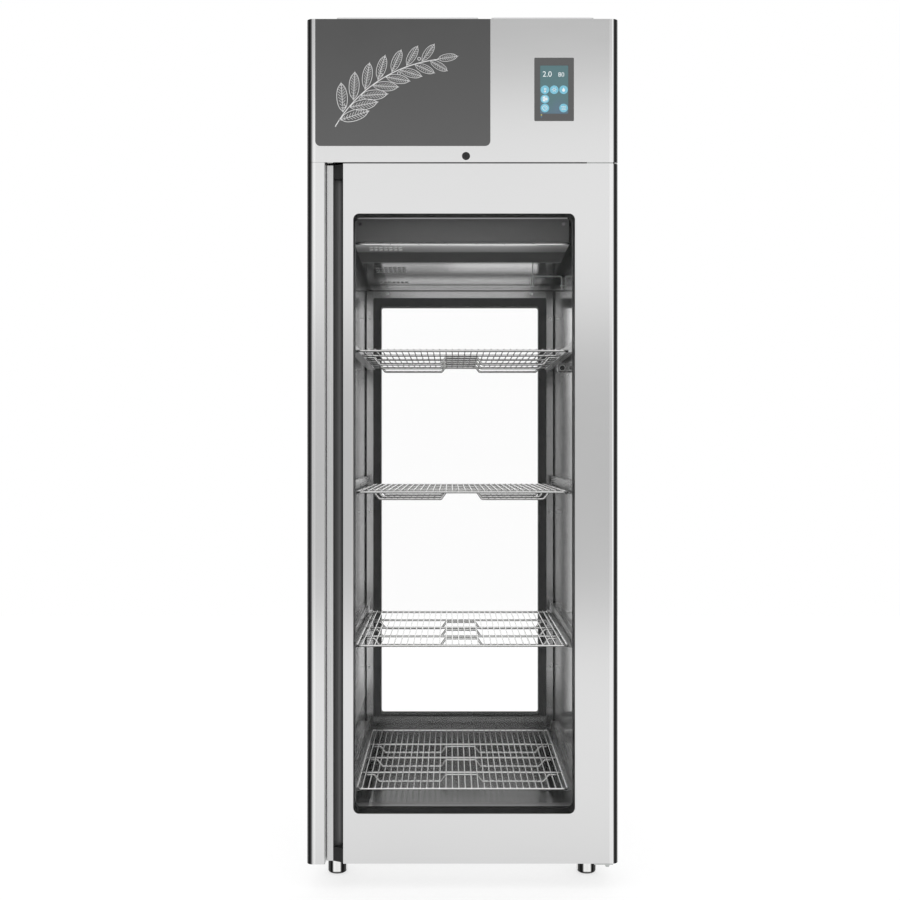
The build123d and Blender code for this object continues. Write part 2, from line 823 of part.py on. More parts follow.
# Door skin: front, right side, top and bottom returns, and a lip over the grip
window_x = (window_left, window_right)
window_z = (window_low, window_high)
unit_x = grow(window_x, spacer_width)
unit_z = grow(window_z, spacer_width)
unit_radius = window_radius + spacer_width
core_x = (profile_right, inner_half)
core_z = (door_low + door_sheet, door_high - door_sheet)
liner_plate_front = door_thickness - door_sheet


def door_core(depth_span, mode=Mode.ADD):
    """The room inside the door skin, with its rounded front right corner."""
    with BuildSketch(Plane.XY.offset(core_z[0])) as outline:
        with Locations(((core_x[0] + core_x[1]) / 2, back_to((depth_span[0] + depth_span[1]) / 2))):
            Rectangle(core_x[1] - core_x[0], depth_span[1] - depth_span[0])
        fillet(outline.vertices().group_by(Axis.Y)[0].sort_by(Axis.X)[-1], inner_radius)
    extrude(outline.sketch, amount=core_z[1] - core_z[0], mode=mode)


def bush_holes():
    """The holes for the two hinge bushes, in the top and bottom of the door."""
    for span in bush_spans:
        post(hinge_x, hinge_depth, grow(span, overrun), bush_radius, Mode.SUBTRACT)


def cam_pocket(depth_clearance):
    """The slot in the top of the door that the lock's cam turns down into."""
    block(grow(cam_sweep_x, cam_room), grow(cam_depth_span, depth_clearance),
          (lock_z - cam_length - cam_room, door_high + overrun), Mode.SUBTRACT)


bush_spans = ((door_low, door_low + bush_length), (door_high - bush_length, door_high))

with BuildPart() as door_skin:
    block((profile_right, half), (0, door_thickness), (door_low, door_high))
    fillet(door_skin.edges().filter_by(Axis.Z).group_by(Axis.Y)[0].sort_by(Axis.X)[-1], edge_radius)
    block((lip_left, profile_right), (0, door_sheet), (door_low, door_high))
    door_core((door_sheet, door_thickness + overrun), Mode.SUBTRACT)
    facing(window_x, (-overrun, door_sheet + overrun), window_z, window_radius, Mode.SUBTRACT)
    bush_holes()
    cam_pocket(cam_room)
door_skin.part.label = "door_skin"
export_step(door_skin.part, "parts/door_skin.step")

with BuildPart() as door_core_foam:
    door_core((door_sheet, liner_plate_front))
    facing(unit_x, (0, door_thickness), unit_z, unit_radius, Mode.SUBTRACT)
    bush_holes()
    cam_pocket(cam_room)
door_core_foam.part.label = "door_core_foam"
export_step(door_core_foam.part, "parts/door_core_foam.step")

with BuildPart() as door_inner_frame:
    block(core_x, (liner_plate_front, door_thickness), core_z)
    facing(grow(window_x, -window_lip), (liner_plate_front - overrun, door_thickness + overrun),
           grow(window_z, -window_lip), window_radius - window_lip, Mode.SUBTRACT)
door_inner_frame.part.label = "door_inner_frame"
export_step(door_inner_frame.part, "parts/door_inner_frame.step")

outer_pane_back = door_sheet + door_pane_thickness
inner_pane_front = liner_plate_front - door_pane_thickness
with BuildPart() as door_glass:
    facing(unit_x, (door_sheet, outer_pane_back), unit_z, unit_radius)
    facing(unit_x, (inner_pane_front, liner_plate_front), unit_z, unit_radius)
door_glass.part.label = "door_glass"
export_step(door_glass.part, "parts/door_glass.step")

with BuildPart() as door_glass_spacer:
    facing(unit_x, (outer_pane_back, inner_pane_front), unit_z, unit_radius)
    facing(window_x, (outer_pane_back - overrun, inner_pane_front + overrun), window_z,
           window_radius, Mode.SUBTRACT)
door_glass_spacer.part.label = "door_glass_spacer"
export_step(door_glass_spacer.part, "parts/door_glass_spacer.step")

# Door gasket, just clear of the breaker frame
gasket_x = grow((-liner_half, liner_half), gasket_margin)
gasket_z = grow((floor_z, ceiling_z), gasket_margin)
with BuildPart() as door_gasket:
    facing(grow(gasket_x, gasket_width), (door_thickness, body_face - gasket_clearance),
           grow(gasket_z, gasket_width), gasket_radius)
    facing(gasket_x, (door_thickness - overrun, body_face + overrun), gasket_z,
           gasket_radius - gasket_width, Mode.SUBTRACT)
door_gasket.part.label = "door_gasket"
export_step(door_gasket.part, "parts/door_gasket.step")

# Grip: an extrusion down the door's left edge with a concave channel under the skin's lip
channel_x = grip_right - grip_radius

with BuildPart() as grip_profile:
    with BuildSketch(Plane.XY.offset(door_low)) as grip_outline:
        with BuildLine():
            left_wall = Line((door_left, back_to(door_thickness)), (door_left, back_to(strip_depth)))
            strip_face = Line(left_wall @ 1, (grip_left, back_to(strip_depth)))
            channel = ThreePointArc(
                strip_face @ 1,
                (channel_x, back_to(grip_floor_depth)),
                (grip_right, back_to(grip_centre_depth)),
            )
            under_lip = Line(channel @ 1, (grip_right, back_to(door_sheet)))
            Polyline(
                under_lip @ 1,
                (profile_right, back_to(door_sheet)),
                (profile_right, back_to(door_thickness)),
                left_wall @ 0,
            )
        make_face()
        fillet(grip_outline.vertices().sort_by(Axis.X).group_by(Axis.X)[0].sort_by(Axis.Y)[0],
               strip_corner_radius)
        hollow_span = (grip_floor_depth + hollow_wall, door_thickness - hollow_wall)
        hollow_x = (door_left + hollow_wall, profile_right - hollow_wall)
        with Locations(((hollow_x[0] + hollow_x[1]) / 2, back_to((hollow_span[0] + hollow_span[1]) / 2))):
            Rectangle(hollow_x[1] - hollow_x[0], hollow_span[1] - hollow_span[0], mode=Mode.SUBTRACT)
    extrude(amount=door_high - door_low)
grip_profile.part.label = "grip_profile"
export_step(grip_profile.part, "parts/grip_profile.step")

with BuildPart() as grip_caps:
    for cap_low in (door_low, door_high - cap_height):
        with BuildSketch(Plane.XY.offset(cap_low)) as cap_outline:
            with BuildLine():
                cap_back = ThreePointArc(
                    (grip_left + cap_clearance, back_to(strip_depth)),
                    (channel_x, back_to(grip_floor_depth - cap_clearance)),
                    (grip_right - cap_clearance, back_to(grip_centre_depth)),
                )
                Polyline(cap_back @ 1, (grip_right - cap_clearance, back_to(cap_front_depth)), cap_back @ 0)
            make_face()
        extrude(amount=cap_height)
grip_caps.part.label = "grip_caps"
export_step(grip_caps.part, "parts/grip_caps.step")

# Hinges: upper plate under the header, lower plate under the base, each with its pin
with BuildPart() as hinge_bushes:
    for span in bush_spans:
        post(hinge_x, hinge_depth, span, bush_radius)
        post(hinge_x, hinge_depth, grow(span, overrun), hinge_pin_radius + running_clearance, Mode.SUBTRACT)
hinge_bushes.part.label = "hinge_bushes"
export_step(hinge_bushes.part, "parts/hinge_bushes.step")

with BuildPart() as hinge_upper:
    block((upper_plate_left, upper_plate_right), (upper_plate_front, body_face),
          (door_high + upper_plate_gap, deck_z))
    post(hinge_x, hinge_depth, (door_high - pin_length, deck_z), hinge_pin_radius)
hinge_upper.part.label = "hinge_upper"
export_step(hinge_upper.part, "parts/hinge_upper.step")

with BuildPart() as hinge_lower:
    plate_low_z = base_z - lower_plate_thickness
    block((lower_plate_left, upper_plate_right), (lower_plate_front, lower_plate_back), (plate_low_z, base_z))
    post(foot_x, foot_front_depth, (plate_low_z - overrun, base_z + overrun), foot_radius + foot_gap,
         Mode.SUBTRACT)
    post(hinge_x, hinge_depth, (base_z, door_low + pin_length), hinge_pin_radius)
    with BuildSketch(Plane.XY.offset(plate_low_z)) as head_outline:
        with Locations((hinge_x, back_to(hinge_depth))):
            Circle(pin_head_radius)
    with BuildSketch(Plane.XY.offset(plate_low_z - pin_head_height)) as tip_outline:
        with Locations((hinge_x, back_to(hinge_depth))):
            Circle(pin_head_tip_radius)
    loft([head_outline.sketch, tip_outline.sketch])
hinge_lower.part.label = "hinge_lower"
export_step(hinge_lower.part, "parts/hinge_lower.step")

# Legs, each with the stud that screws into its socket
foot_names = ("front_left", "front_right", "rear_left", "rear_right")
for name, (x, distance) in zip(foot_names, foot_places):
    with BuildPart() as foot:
        post(x, distance, (0, foot_height - foot_gap), foot_radius)
        fillet(foot.edges().filter_by(GeomType.CIRCLE).group_by(Axis.Z)[0], foot_edge_radius)
        post(x, distance, (foot_height - foot_gap, foot_height + stud_length), stud_radius)
    foot.part.label = f"foot_{name}"
    export_step(foot.part, f"parts/foot_{name}.step")

# Rails: a lip under each rack's side wire, a web, and a flange to the wall
with BuildPart() as guide_rails:
    for height in rack_heights:
        lip_top = height - rim_wire_radius - rack_clearance
        for side in (-1, 1):
            spans = (
                ((rail_lip_left, rail_web), (lip_top - rail_sheet, lip_top)),
                ((rail_web - rail_sheet, rail_web), (lip_top - rail_sheet, lip_top + rail_rise)),
                ((rail_web - rail_sheet, chamber_half), (lip_top + rail_rise - rail_sheet, lip_top + rail_rise)),
            )
            for x_span, z_span in spans:
                block(sorted(side * x for x in x_span), (rail_front, rail_back), z_span)
guide_rails.part.label = "guide_rails"
export_step(guide_rails.part, "parts/guide_rails.step")

# Racks: a rim wire, a grid of wires on it, three cross wires and a bent brace under each
rim_half = rack_width / 2 - rim_wire_radius
rack_back = rack_front + rack_depth
grid_z = rim_wire_radius + grid_wire_radius - weld_sink
grid_first_x = -grid_pitch * (grid_wires - 1) / 2
cross_z = grid_z - grid_wire_radius - cross_wire_radius + weld_sink
brace_z = cross_z - cross_wire_radius - brace_radius + weld_sink

with BuildSketch() as rim_outline:
    with Locations((0, back_to((rack_front + rack_back) / 2))):
        RectangleRounded(2 * rim_half, rack_depth - 2 * rim_wire_radius, rack_corner_radius - rim_wire_radius)
rim = rim_outline.face().outer_wire()

with BuildPart() as wire_rack:
    with BuildSketch(Plane(origin=rim @ 0, z_dir=rim % 0)):
        Circle(rim_wire_radius)
    sweep(path=rim)
    wire_span = (rack_front + rim_wire_radius - grid_wire_radius, rack_back - rim_wire_radius + grid_wire_radius)
    for number in range(grid_wires):
        rod(grid_first_x + number * grid_pitch, grid_z, wire_span, grid_wire_radius)
    for share in cross_shares:
        cross_depth = rack_front + share * rack_depth
        bar_across((-rim_half, rim_half), cross_depth, cross_z, cross_wire_radius)
        half_route = (
            (brace_end, brace_z),
            (brace_shoulder, brace_z),
            (brace_foot_outer, brace_z - brace_drop),
            (brace_foot_inner, brace_z - brace_drop),
            (brace_middle, brace_z),
        )
        left_route = [(-x, back_to(cross_depth), z) for x, z in half_route]
        right_route = [(x, back_to(cross_depth), z) for x, z in reversed(half_route)]
        pipe(left_route + right_route, brace_radius, brace_bend)

for number, height in enumerate(rack_heights, 1):
    with BuildPart() as rack:
        with Locations((0, 0, height)):
            add(wire_rack.part)
    rack.part.label = f"rack_{number}"
    export_step(rack.part, f"parts/rack_{number}.step")

# Evaporator housing: a fascia, sides and a sloping perforated bottom, open to the ceiling
with BuildPart() as plenum_housing:
    with BuildSketch(Plane.YZ.offset(-plenum_half)):
        Polygon(
            (back_to(plenum_front), plenum_low_front),
            (back_to(plenum_front), ceiling_z),
            (back_to(plenum_back), ceiling_z),
            (back_to(plenum_back), plenum_low_back),
            align=None,
        )
    extrude(amount=2 * plenum_half)
    with BuildSketch(Plane.YZ.offset(-plenum_half + sheet)):
        Polygon(
            (back_to(plenum_front + sheet), plenum_low_front + sheet),
            (back_to(plenum_front + sheet), ceiling_z + overrun),
            (back_to(plenum_back - sheet), ceiling_z + overrun),
            (back_to(plenum_back - sheet), plenum_low_back + sheet),
            align=None,
        )
    extrude(amount=2 * (plenum_half - sheet), mode=Mode.SUBTRACT)
    block((-plenum_half, plenum_half), (plenum_front - plenum_hem_thickness, plenum_front),
          (plenum_low_front, plenum_low_front + plenum_hem))
    for side in (-1, 1):
        rod(side * plenum_screw_x, plenum_screw_z, (plenum_front - plenum_screw_proud, plenum_front),
            plenum_screw_radius)
    for distance in vent_row_depths:
        for column in range(vent_columns):
            post(vent_first_x + column * vent_pitch, distance, (plenum_low_back - overrun, plenum_screw_z),
                 vent_hole_radius, Mode.SUBTRACT)
plenum_housing.part.label = "plenum_housing"
export_step(plenum_housing.part, "parts/plenum_housing.step")


def finned_block(x_span, depth_span, z_span, rows, columns, hang_to):
    """Fins on straight tubes between two end plates that reach up or down to what carries them."""
    depth_pitch = (depth_span[1] - depth_span[0]) / columns
    z_pitch = (z_span[1] - z_span[0]) / rows
    fin_x = x_span[0] + fin_gap
    while fin_x + fin_thickness < x_span[1]:
        block((fin_x, fin_x + fin_thickness), depth_span, z_span)
        fin_x += fin_gap + fin_thickness
    plate_z = (min(z_span[0], hang_to), max(z_span[1], hang_to))
    block((x_span[0], x_span[0] + end_plate_thickness), depth_span, plate_z)
    block((x_span[1] - end_plate_thickness, x_span[1]), depth_span, plate_z)
    for column in range(columns):
        for row in range(rows):
            bar_across(x_span, depth_span[0] + (column + 1 / 2) * depth_pitch,
                       z_span[0] + (row + 1 / 2) * z_pitch, coil_tube_radius)


evaporator_x = (-evaporator_width / 2, evaporator_width / 2)
with BuildPart() as evaporator_coil:
    finned_block(evaporator_x, (evaporator_front, evaporator_front + evaporator_depth),
                 (evaporator_low, evaporator_high), evaporator_tube_rows, evaporator_tube_columns, ceiling_z)
evaporator_coil.part.label = "evaporator_coil"
export_step(evaporator_coil.part, "parts/evaporator_coil.step")

condenser_x = (condenser_left, condenser_left + condenser_width)
condenser_z = (deck_z + condenser_lift, deck_z + condenser_lift + condenser_height)
with BuildPart() as condenser:
    finned_block(condenser_x, (condenser_front, condenser_front + condenser_depth), condenser_z,
                 condenser_tube_rows, condenser_tube_columns, deck_z)
condenser.part.label = "condenser"
export_step(condenser.part, "parts/condenser.step")


def fan_blades(x, z, distance, hub_radius, tip_radius, hub_length):
    """A hub and slanted blades, turning on a shaft that points from the front to the back."""
    rod(x, z, (distance, distance + hub_length), hub_radius)
    blade_length = tip_radius - hub_radius / 2
    blade_width = hub_length / tan(radians(blade_pitch_angle))
    with Locations(Plane(origin=(x, back_to(distance + hub_length / 2), z), z_dir=(0, 1, 0))):
        with PolarLocations((tip_radius + hub_radius / 2) / 2, blade_count):
            Box(blade_length, blade_width, blade_thickness, rotation=(blade_pitch_angle, 0, 0))
    rod(x, z, (distance - overrun - hub_length, distance + 2 * hub_length + overrun),
        shaft_radius + running_clearance, Mode.SUBTRACT)


evaporator_hub_length = evaporator_hub_radius
with BuildPart() as evaporator_fan_blades:
    fan_blades(0, evaporator_fan_z, evaporator_fan_depth, evaporator_hub_radius, evaporator_fan_radius,
               evaporator_hub_length)
evaporator_fan_blades.part.label = "evaporator_fan_blades"
export_step(evaporator_fan_blades.part, "parts/evaporator_fan_blades.step")

with BuildPart() as evaporator_fan_motor:
    motor_back = evaporator_fan_depth - fan_gap
    motor_front = motor_back - evaporator_motor_length
    rod(0, evaporator_fan_z, (motor_front, motor_back), evaporator_motor_radius)
    rod(0, evaporator_fan_z, (motor_back, evaporator_fan_depth + evaporator_hub_length), shaft_radius)
    block((-arm_width, arm_width), (motor_front, motor_front + arm_thickness), (evaporator_fan_z, ceiling_z))
evaporator_fan_motor.part.label = "evaporator_fan_motor"
export_step(evaporator_fan_motor.part, "parts/evaporator_fan_motor.step")

# Condenser fan, its motor on arms, and the shroud that joins them to the condenser
condenser_fan_x = (condenser_x[0] + condenser_x[1]) / 2
condenser_fan_z = (condenser_z[0] + condenser_z[1]) / 2
shroud_front = condenser_front - shroud_depth
condenser_hub_length = shroud_depth - 2 * fan_gap
condenser_fan_front = shroud_front + fan_gap
shroud_opening = condenser_fan_radius + shroud_clearance

with BuildPart() as condenser_shroud:
    block(condenser_x, (shroud_front, condenser_front), condenser_z)
    block(grow(condenser_x, -shroud_sheet), (shroud_front + shroud_sheet, condenser_front + overrun),
          grow(condenser_z, -shroud_sheet), Mode.SUBTRACT)
    rod(condenser_fan_x, condenser_fan_z, (shroud_front - overrun, condenser_front),
        shroud_opening, Mode.SUBTRACT)
condenser_shroud.part.label = "condenser_shroud"
export_step(condenser_shroud.part, "parts/condenser_shroud.step")

with BuildPart() as condenser_fan_blades:
    fan_blades(condenser_fan_x, condenser_fan_z, condenser_fan_front, condenser_hub_radius,
               condenser_fan_radius, condenser_hub_length)
condenser_fan_blades.part.label = "condenser_fan_blades"
export_step(condenser_fan_blades.part, "parts/condenser_fan_blades.step")

with BuildPart() as condenser_fan_motor:
    motor_span = (shroud_front - arm_thickness - condenser_motor_length, shroud_front - arm_thickness)
    rod(condenser_fan_x, condenser_fan_z, motor_span, condenser_motor_radius)
    rod(condenser_fan_x, condenser_fan_z, (motor_span[1], condenser_fan_front + condenser_hub_length),
        shaft_radius)
    arm_reach = shroud_opening + arm_width
    arm_span = (shroud_front - arm_thickness, shroud_front)
    block((condenser_fan_x - arm_reach, condenser_fan_x + arm_reach), arm_span,
          (condenser_fan_z - arm_width / 2, condenser_fan_z + arm_width / 2))
    block((condenser_fan_x - arm_width / 2, condenser_fan_x + arm_width / 2), arm_span,
          (condenser_fan_z - arm_reach, condenser_fan_z + arm_reach))
condenser_fan_motor.part.label = "condenser_fan_motor"
export_step(condenser_fan_motor.part, "parts/condenser_fan_motor.step")

# Compressor pot on its foot plate, with suction and discharge stubs, on four rubber mounts
pot_low = deck_z + mount_height + foot_plate_thickness
pot_high = pot_low + compressor_height
suction_depth = compressor_depth + compressor_radius / 2
with BuildPart() as compressor:
    post(compressor_x, compressor_depth, (pot_low, pot_high), compressor_radius)
    fillet(compressor.edges().filter_by(GeomType.CIRCLE).group_by(Axis.Z)[-1], compressor_dome)
    seam_z = pot_low + compressor_seam_z_share * compressor_height
    post(compressor_x, compressor_depth, (seam_z, seam_z + compressor_seam_height),
         compressor_radius + compressor_seam_width)
    block(
        (compressor_x - mount_pitch_x / 2 - foot_plate_margin, compressor_x + mount_pitch_x / 2 + foot_plate_margin),
        (compressor_depth - mount_pitch_y / 2 - foot_plate_margin,
         compressor_depth + mount_pitch_y / 2 + foot_plate_margin),
        (pot_low - foot_plate_thickness, pot_low),
    )
    for place in (suction_depth, compressor_depth - compressor_radius / 2):
        post(compressor_x, place, (pot_high - compressor_dome, pot_high + stub_length), stub_radius)
compressor.part.label = "compressor"
export_step(compressor.part, "parts/compressor.step")

with BuildPart() as compressor_mounts:
    with BuildSketch(Plane.XY.offset(deck_z)):
        with Locations((compressor_x, back_to(compressor_depth))):
            with GridLocations(mount_pitch_x, mount_pitch_y, 2, 2):
                Circle(mount_radius)
    extrude(amount=mount_height)
compressor_mounts.part.label = "compressor_mounts"
export_step(compressor_mounts.part, "parts/compressor_mounts.step")

# Refrigerant pipes: suction riser, discharge to the condenser, and the liquid line with its drier
stub_top = pot_high + stub_length
discharge_depth = compressor_depth - compressor_radius / 2
coil_column_depth = condenser_front + condenser_depth / (2 * condenser_tube_columns)
coil_row_pitch = condenser_height / condenser_tube_rows
coil_top_z = condenser_z[1] - coil_row_pitch / 2
coil_low_z = condenser_z[0] + coil_row_pitch / 2
evaporator_entry_z = evaporator_high
outlet_x = condenser_x[0] - 2 * pipe_bend
drier_low = pipe_low_z
suction_place, liquid_place = riser_places


def is_drier_rim(edge):
    """Whether a round edge is one of the drier's two rims."""
    return edge.radius == drier_radius


with BuildPart() as refrigerant_pipes:
    pipe(
        [
            (compressor_x, back_to(suction_depth), stub_top),
            (compressor_x, back_to(suction_depth), pipe_run_z),
            (suction_place[0], back_to(suction_depth), pipe_run_z),
            (suction_place[0], back_to(suction_place[1]), pipe_run_z),
            (suction_place[0], back_to(suction_place[1]), evaporator_entry_z),
        ],
        pipe_radius,
        pipe_bend,
    )
    pipe(
        [
            (compressor_x, back_to(discharge_depth), stub_top),
            (compressor_x, back_to(discharge_depth), pipe_run_z + 2 * pipe_bend),
            (outlet_x, back_to(discharge_depth), pipe_run_z + 2 * pipe_bend),
            (outlet_x, back_to(coil_column_depth), pipe_run_z + 2 * pipe_bend),
            (outlet_x, back_to(coil_column_depth), coil_top_z),
            (condenser_x[0], back_to(coil_column_depth), coil_top_z),
        ],
        pipe_radius,
        pipe_bend,
    )
    drier_depth = liquid_place[1]
    drier_high = drier_low + drier_length
    pipe(
        [
            (condenser_x[0], back_to(coil_column_depth), coil_low_z),
            (drier_x, back_to(coil_column_depth), coil_low_z),
            (drier_x, back_to(drier_depth), coil_low_z),
            (drier_x, back_to(drier_depth), drier_high),
        ],
        pipe_radius,
        pipe_bend,
    )
    post(drier_x, drier_depth, (drier_high - overrun, drier_high + drier_length), drier_radius)
    fillet(
        refrigerant_pipes.edges().filter_by(GeomType.CIRCLE).filter_by(is_drier_rim),
        drier_radius - pipe_radius - overrun,
    )
    pipe(
        [
            (drier_x, back_to(drier_depth), drier_high + drier_length - overrun),
            (drier_x, back_to(drier_depth), pipe_run_z - drier_neck),
            (liquid_place[0], back_to(drier_depth), pipe_run_z - drier_neck),
            (liquid_place[0], back_to(drier_depth), evaporator_entry_z),
        ],
        pipe_radius,
        pipe_bend,
    )
refrigerant_pipes.part.label = "refrigerant_pipes"
export_step(refrigerant_pipes.part, "parts/refrigerant_pipes.step")

# Control box on the deck, behind the display
control_x = (control_left, control_left + control_width)
control_span = (control_front, control_front + control_depth)
with BuildPart() as control_box:
    block(control_x, control_span, (deck_z, deck_z + control_height))
    fillet(control_box.edges().filter_by(Axis.Z), control_radius)
    offset(amount=-control_wall, openings=control_box.faces().sort_by(Axis.Z)[0])
control_box.part.label = "control_box"
export_step(control_box.part, "parts/control_box.step")

# Light bar at the front of the ceiling
with BuildPart() as light_bar:
    block((-light_bar_width / 2, light_bar_width / 2), (light_bar_front, light_bar_front + light_bar_depth),
          (ceiling_z - light_bar_height, ceiling_z))
    fillet(light_bar.edges().filter_by(Axis.X).group_by(Axis.Z)[0], light_bar_wall)
light_bar.part.label = "light_bar"
export_step(light_bar.part, "parts/light_bar.step")

# Wall sensor on the right wall, and the probe on its wire bracket
with BuildPart() as wall_sensor:
    block((sensor_left, chamber_half), (sensor_front, sensor_front + sensor_depth), (sensor_low, sensor_high))
    fillet(wall_sensor.edges().filter_by(Axis.Y).group_by(Axis.X)[0], sensor_top_radius)
    rod(sensor_port_x, sensor_port_z, (sensor_front - overrun, sensor_front + sensor_port_depth),
        sensor_port_radius, Mode.SUBTRACT)
wall_sensor.part.label = "wall_sensor"
export_step(wall_sensor.part, "parts/wall_sensor.step")

with BuildPart() as probe:
    bracket_y = back_to(bracket_depth)
    plenum_slope = (plenum_low_front - plenum_low_back) / (plenum_back - plenum_front)
    bracket_top = plenum_low_front - plenum_slope * (bracket_depth + bracket_wire_radius - plenum_front)
    pipe(
        [
            (bracket_left, bracket_y, bracket_top),
            (bracket_left, bracket_y, bracket_z),
            (bracket_x, bracket_y, bracket_z),
            (bracket_x, bracket_y, bracket_low),
        ],
        bracket_wire_radius,
        bracket_bend,
    )
    bar_across((bracket_x - bracket_cross_half, bracket_x + bracket_cross_half), bracket_depth,
               bracket_cross_z, bracket_wire_radius)
    post(bracket_left, bracket_depth, (bracket_z - probe_length, bracket_z), probe_radius)
probe.part.label = "probe"
export_step(probe.part, "parts/probe.step")
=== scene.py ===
import math

import bmesh
import bpy
from mathutils import Matrix, Vector


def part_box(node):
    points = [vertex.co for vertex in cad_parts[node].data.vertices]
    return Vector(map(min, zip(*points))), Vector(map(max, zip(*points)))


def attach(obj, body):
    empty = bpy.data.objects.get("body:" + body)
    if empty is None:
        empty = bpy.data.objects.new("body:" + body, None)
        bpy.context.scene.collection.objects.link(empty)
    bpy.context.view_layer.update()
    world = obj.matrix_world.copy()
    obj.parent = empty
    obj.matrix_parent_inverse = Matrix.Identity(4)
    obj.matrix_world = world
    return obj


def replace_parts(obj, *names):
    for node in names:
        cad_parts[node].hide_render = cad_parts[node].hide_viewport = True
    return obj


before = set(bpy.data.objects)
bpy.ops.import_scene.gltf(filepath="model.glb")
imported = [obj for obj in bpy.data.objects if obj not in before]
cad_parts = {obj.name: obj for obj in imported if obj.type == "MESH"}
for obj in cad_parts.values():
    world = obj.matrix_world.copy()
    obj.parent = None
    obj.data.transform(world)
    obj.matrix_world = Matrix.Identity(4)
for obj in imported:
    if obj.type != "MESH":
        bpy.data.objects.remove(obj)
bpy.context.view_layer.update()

UPRIGHT = (math.radians(90), 0, 0)
SMOOTH_BELOW = math.radians(30)
NOISE_SPAN = (0.3, 0.7)
NOISE_ROUGHNESS = 0.55
BRUSHED_DEPTH = 0.0000015


def tone(code):
    """Linear colour of a screen colour such as 7cc5de."""
    parts = [int(code[i : i + 2], 16) / 255 for i in (0, 2, 4)]
    return tuple(p / 12.92 if p <= 0.04045 else ((p + 0.055) / 1.055) ** 2.4 for p in parts)


def grey(level):
    return (level, level, level)


def scaled(colour, factor):
    return tuple(min(1.0, c * factor) for c in colour)


# Shader values; an owner is a material or the room's light


def node(owner, kind):
    return owner.node_tree.nodes.new(f"ShaderNode{kind}")


def give(owner, socket, content):
    """Feeds a socket with a number, a colour or what another node gives out."""
    if isinstance(content, (int, float)):
        socket.default_value = content
    elif isinstance(content, tuple):
        socket.default_value = (*content, 1)
    else:
        owner.node_tree.links.new(content, socket)


def shader_of(material):
    return material.node_tree.nodes["Principled BSDF"]


def feed(material, content, socket="Base Color"):
    give(material, shader_of(material).inputs[socket], content)


def fed(material, socket="Base Color"):
    """What feeds a socket of the shader now."""
    return shader_of(material).inputs[socket].links[0].from_socket


def own(owner, kind, axis):
    """One axis of an owner's coordinates: Object is its place, in metres, Normal how its surface turns."""
    place = node(owner, "TexCoord")
    axes = node(owner, "SeparateXYZ")
    give(owner, axes.inputs["Vector"], place.outputs[kind])
    return axes.outputs[axis]


def reckoned(owner, operation, *values):
    """The result of one sum."""
    result = node(owner, "Math")
    result.operation = operation
    for socket, value in zip(result.inputs, values):
        give(owner, socket, value)
    return result.outputs["Value"]


def mapped(owner, value, from_low, from_high, to_low=0.0, to_high=1.0):
    """A value carried from one span to another and held at its ends."""
    span = node(owner, "MapRange")
    limits = {"From Min": from_low, "From Max": from_high, "To Min": to_low, "To Max": to_high}
    for socket, limit in limits.items():
        give(owner, span.inputs[socket], limit)
    give(owner, span.inputs["Value"], value)
    return span.outputs["Result"]


def over(owner, value, under, colour, way="MIX"):
    """A colour laid over another as far as a value says."""
    mix = node(owner, "Mix")
    mix.data_type = "RGBA"
    mix.blend_type = way
    for socket, content in (("Factor", value), ("A", under), ("B", colour)):
        give(owner, mix.inputs[socket], content)
    return mix.outputs["Result"]


def times(owner, a, b):
    """Two shades or colours multiplied."""
    return over(owner, 1.0, a, b, "MULTIPLY")


def shades(owner, value, *stops):
    """Greys along a value: pairs of place and level."""
    bands = node(owner, "ValToRGB")
    while len(bands.color_ramp.elements) < len(stops):
        bands.color_ramp.elements.new(0.5)
    for element, (at, level) in zip(bands.color_ramp.elements, stops):
        element.position = at
        element.color = (*grey(level), 1)
    give(owner, bands.inputs["Fac"], value)
    return bands.outputs["Color"]


def between(material, noise, low, high):
    """Noise carried from its usual span to low and high."""
    return mapped(material, noise, *NOISE_SPAN, low, high)


def along(material, axis, low, high):
    """0 to 1 as the piece's own coordinate on an axis goes from low to high, in metres."""
    return mapped(material, own(material, "Object", axis), low, high)


def past(material, axis, edge):
    """1 where the piece's own coordinate is past an edge, 0 before it."""
    return along(material, axis, edge - 0.0001, edge + 0.0001)


def aside(material, low, high):
    """0 to 1 as the distance from the middle, to either side, goes from low to high, in metres."""
    return mapped(material, reckoned(material, "ABSOLUTE", own(material, "Object", "X")), low, high)


def facing(material, axis, low, high):
    """0 to 1 as the surface turns along an axis of its own, its normal's share going from low to high."""
    return mapped(material, own(material, "Normal", axis), low, high)


def spot(material, x, z, radius):
    """1 inside a round spot on a front, 0 outside it."""
    place = node(material, "TexCoord")
    flat = node(material, "VectorMath")
    flat.operation = "MULTIPLY"
    flat.inputs[1].default_value = (1, 0, 1)
    reach = node(material, "VectorMath")
    reach.operation = "DISTANCE"
    reach.inputs[1].default_value = (x, 0, z)
    give(material, flat.inputs[0], place.outputs["Object"])
    give(material, reach.inputs[0], flat.outputs["Vector"])
    return reckoned(material, "LESS_THAN", reach.outputs["Value"], radius)


def grain(material, stretch, detail=3.0):
    """Noise over the piece's own coordinates; the larger a number in stretch, the finer along that axis."""
    place = node(material, "TexCoord")
    mapping = node(material, "Mapping")
    mapping.inputs["Scale"].default_value = stretch
    noise = node(material, "TexNoise")
    for socket, value in (("Scale", 1.0), ("Detail", detail), ("Roughness", NOISE_ROUGHNESS)):
        give(material, noise.inputs[socket], value)
    give(material, mapping.inputs["Vector"], place.outputs["Object"])
    give(material, noise.inputs["Vector"], mapping.outputs["Vector"])
    return noise.outputs["Fac"]


def relief(material, value, height):
    """A value as a small relief, its height in metres."""
    bump = node(material, "Bump")
    give(material, bump.inputs["Distance"], height)
    give(material, bump.inputs["Height"], value)
    feed(material, bump.outputs["Normal"], "Normal")


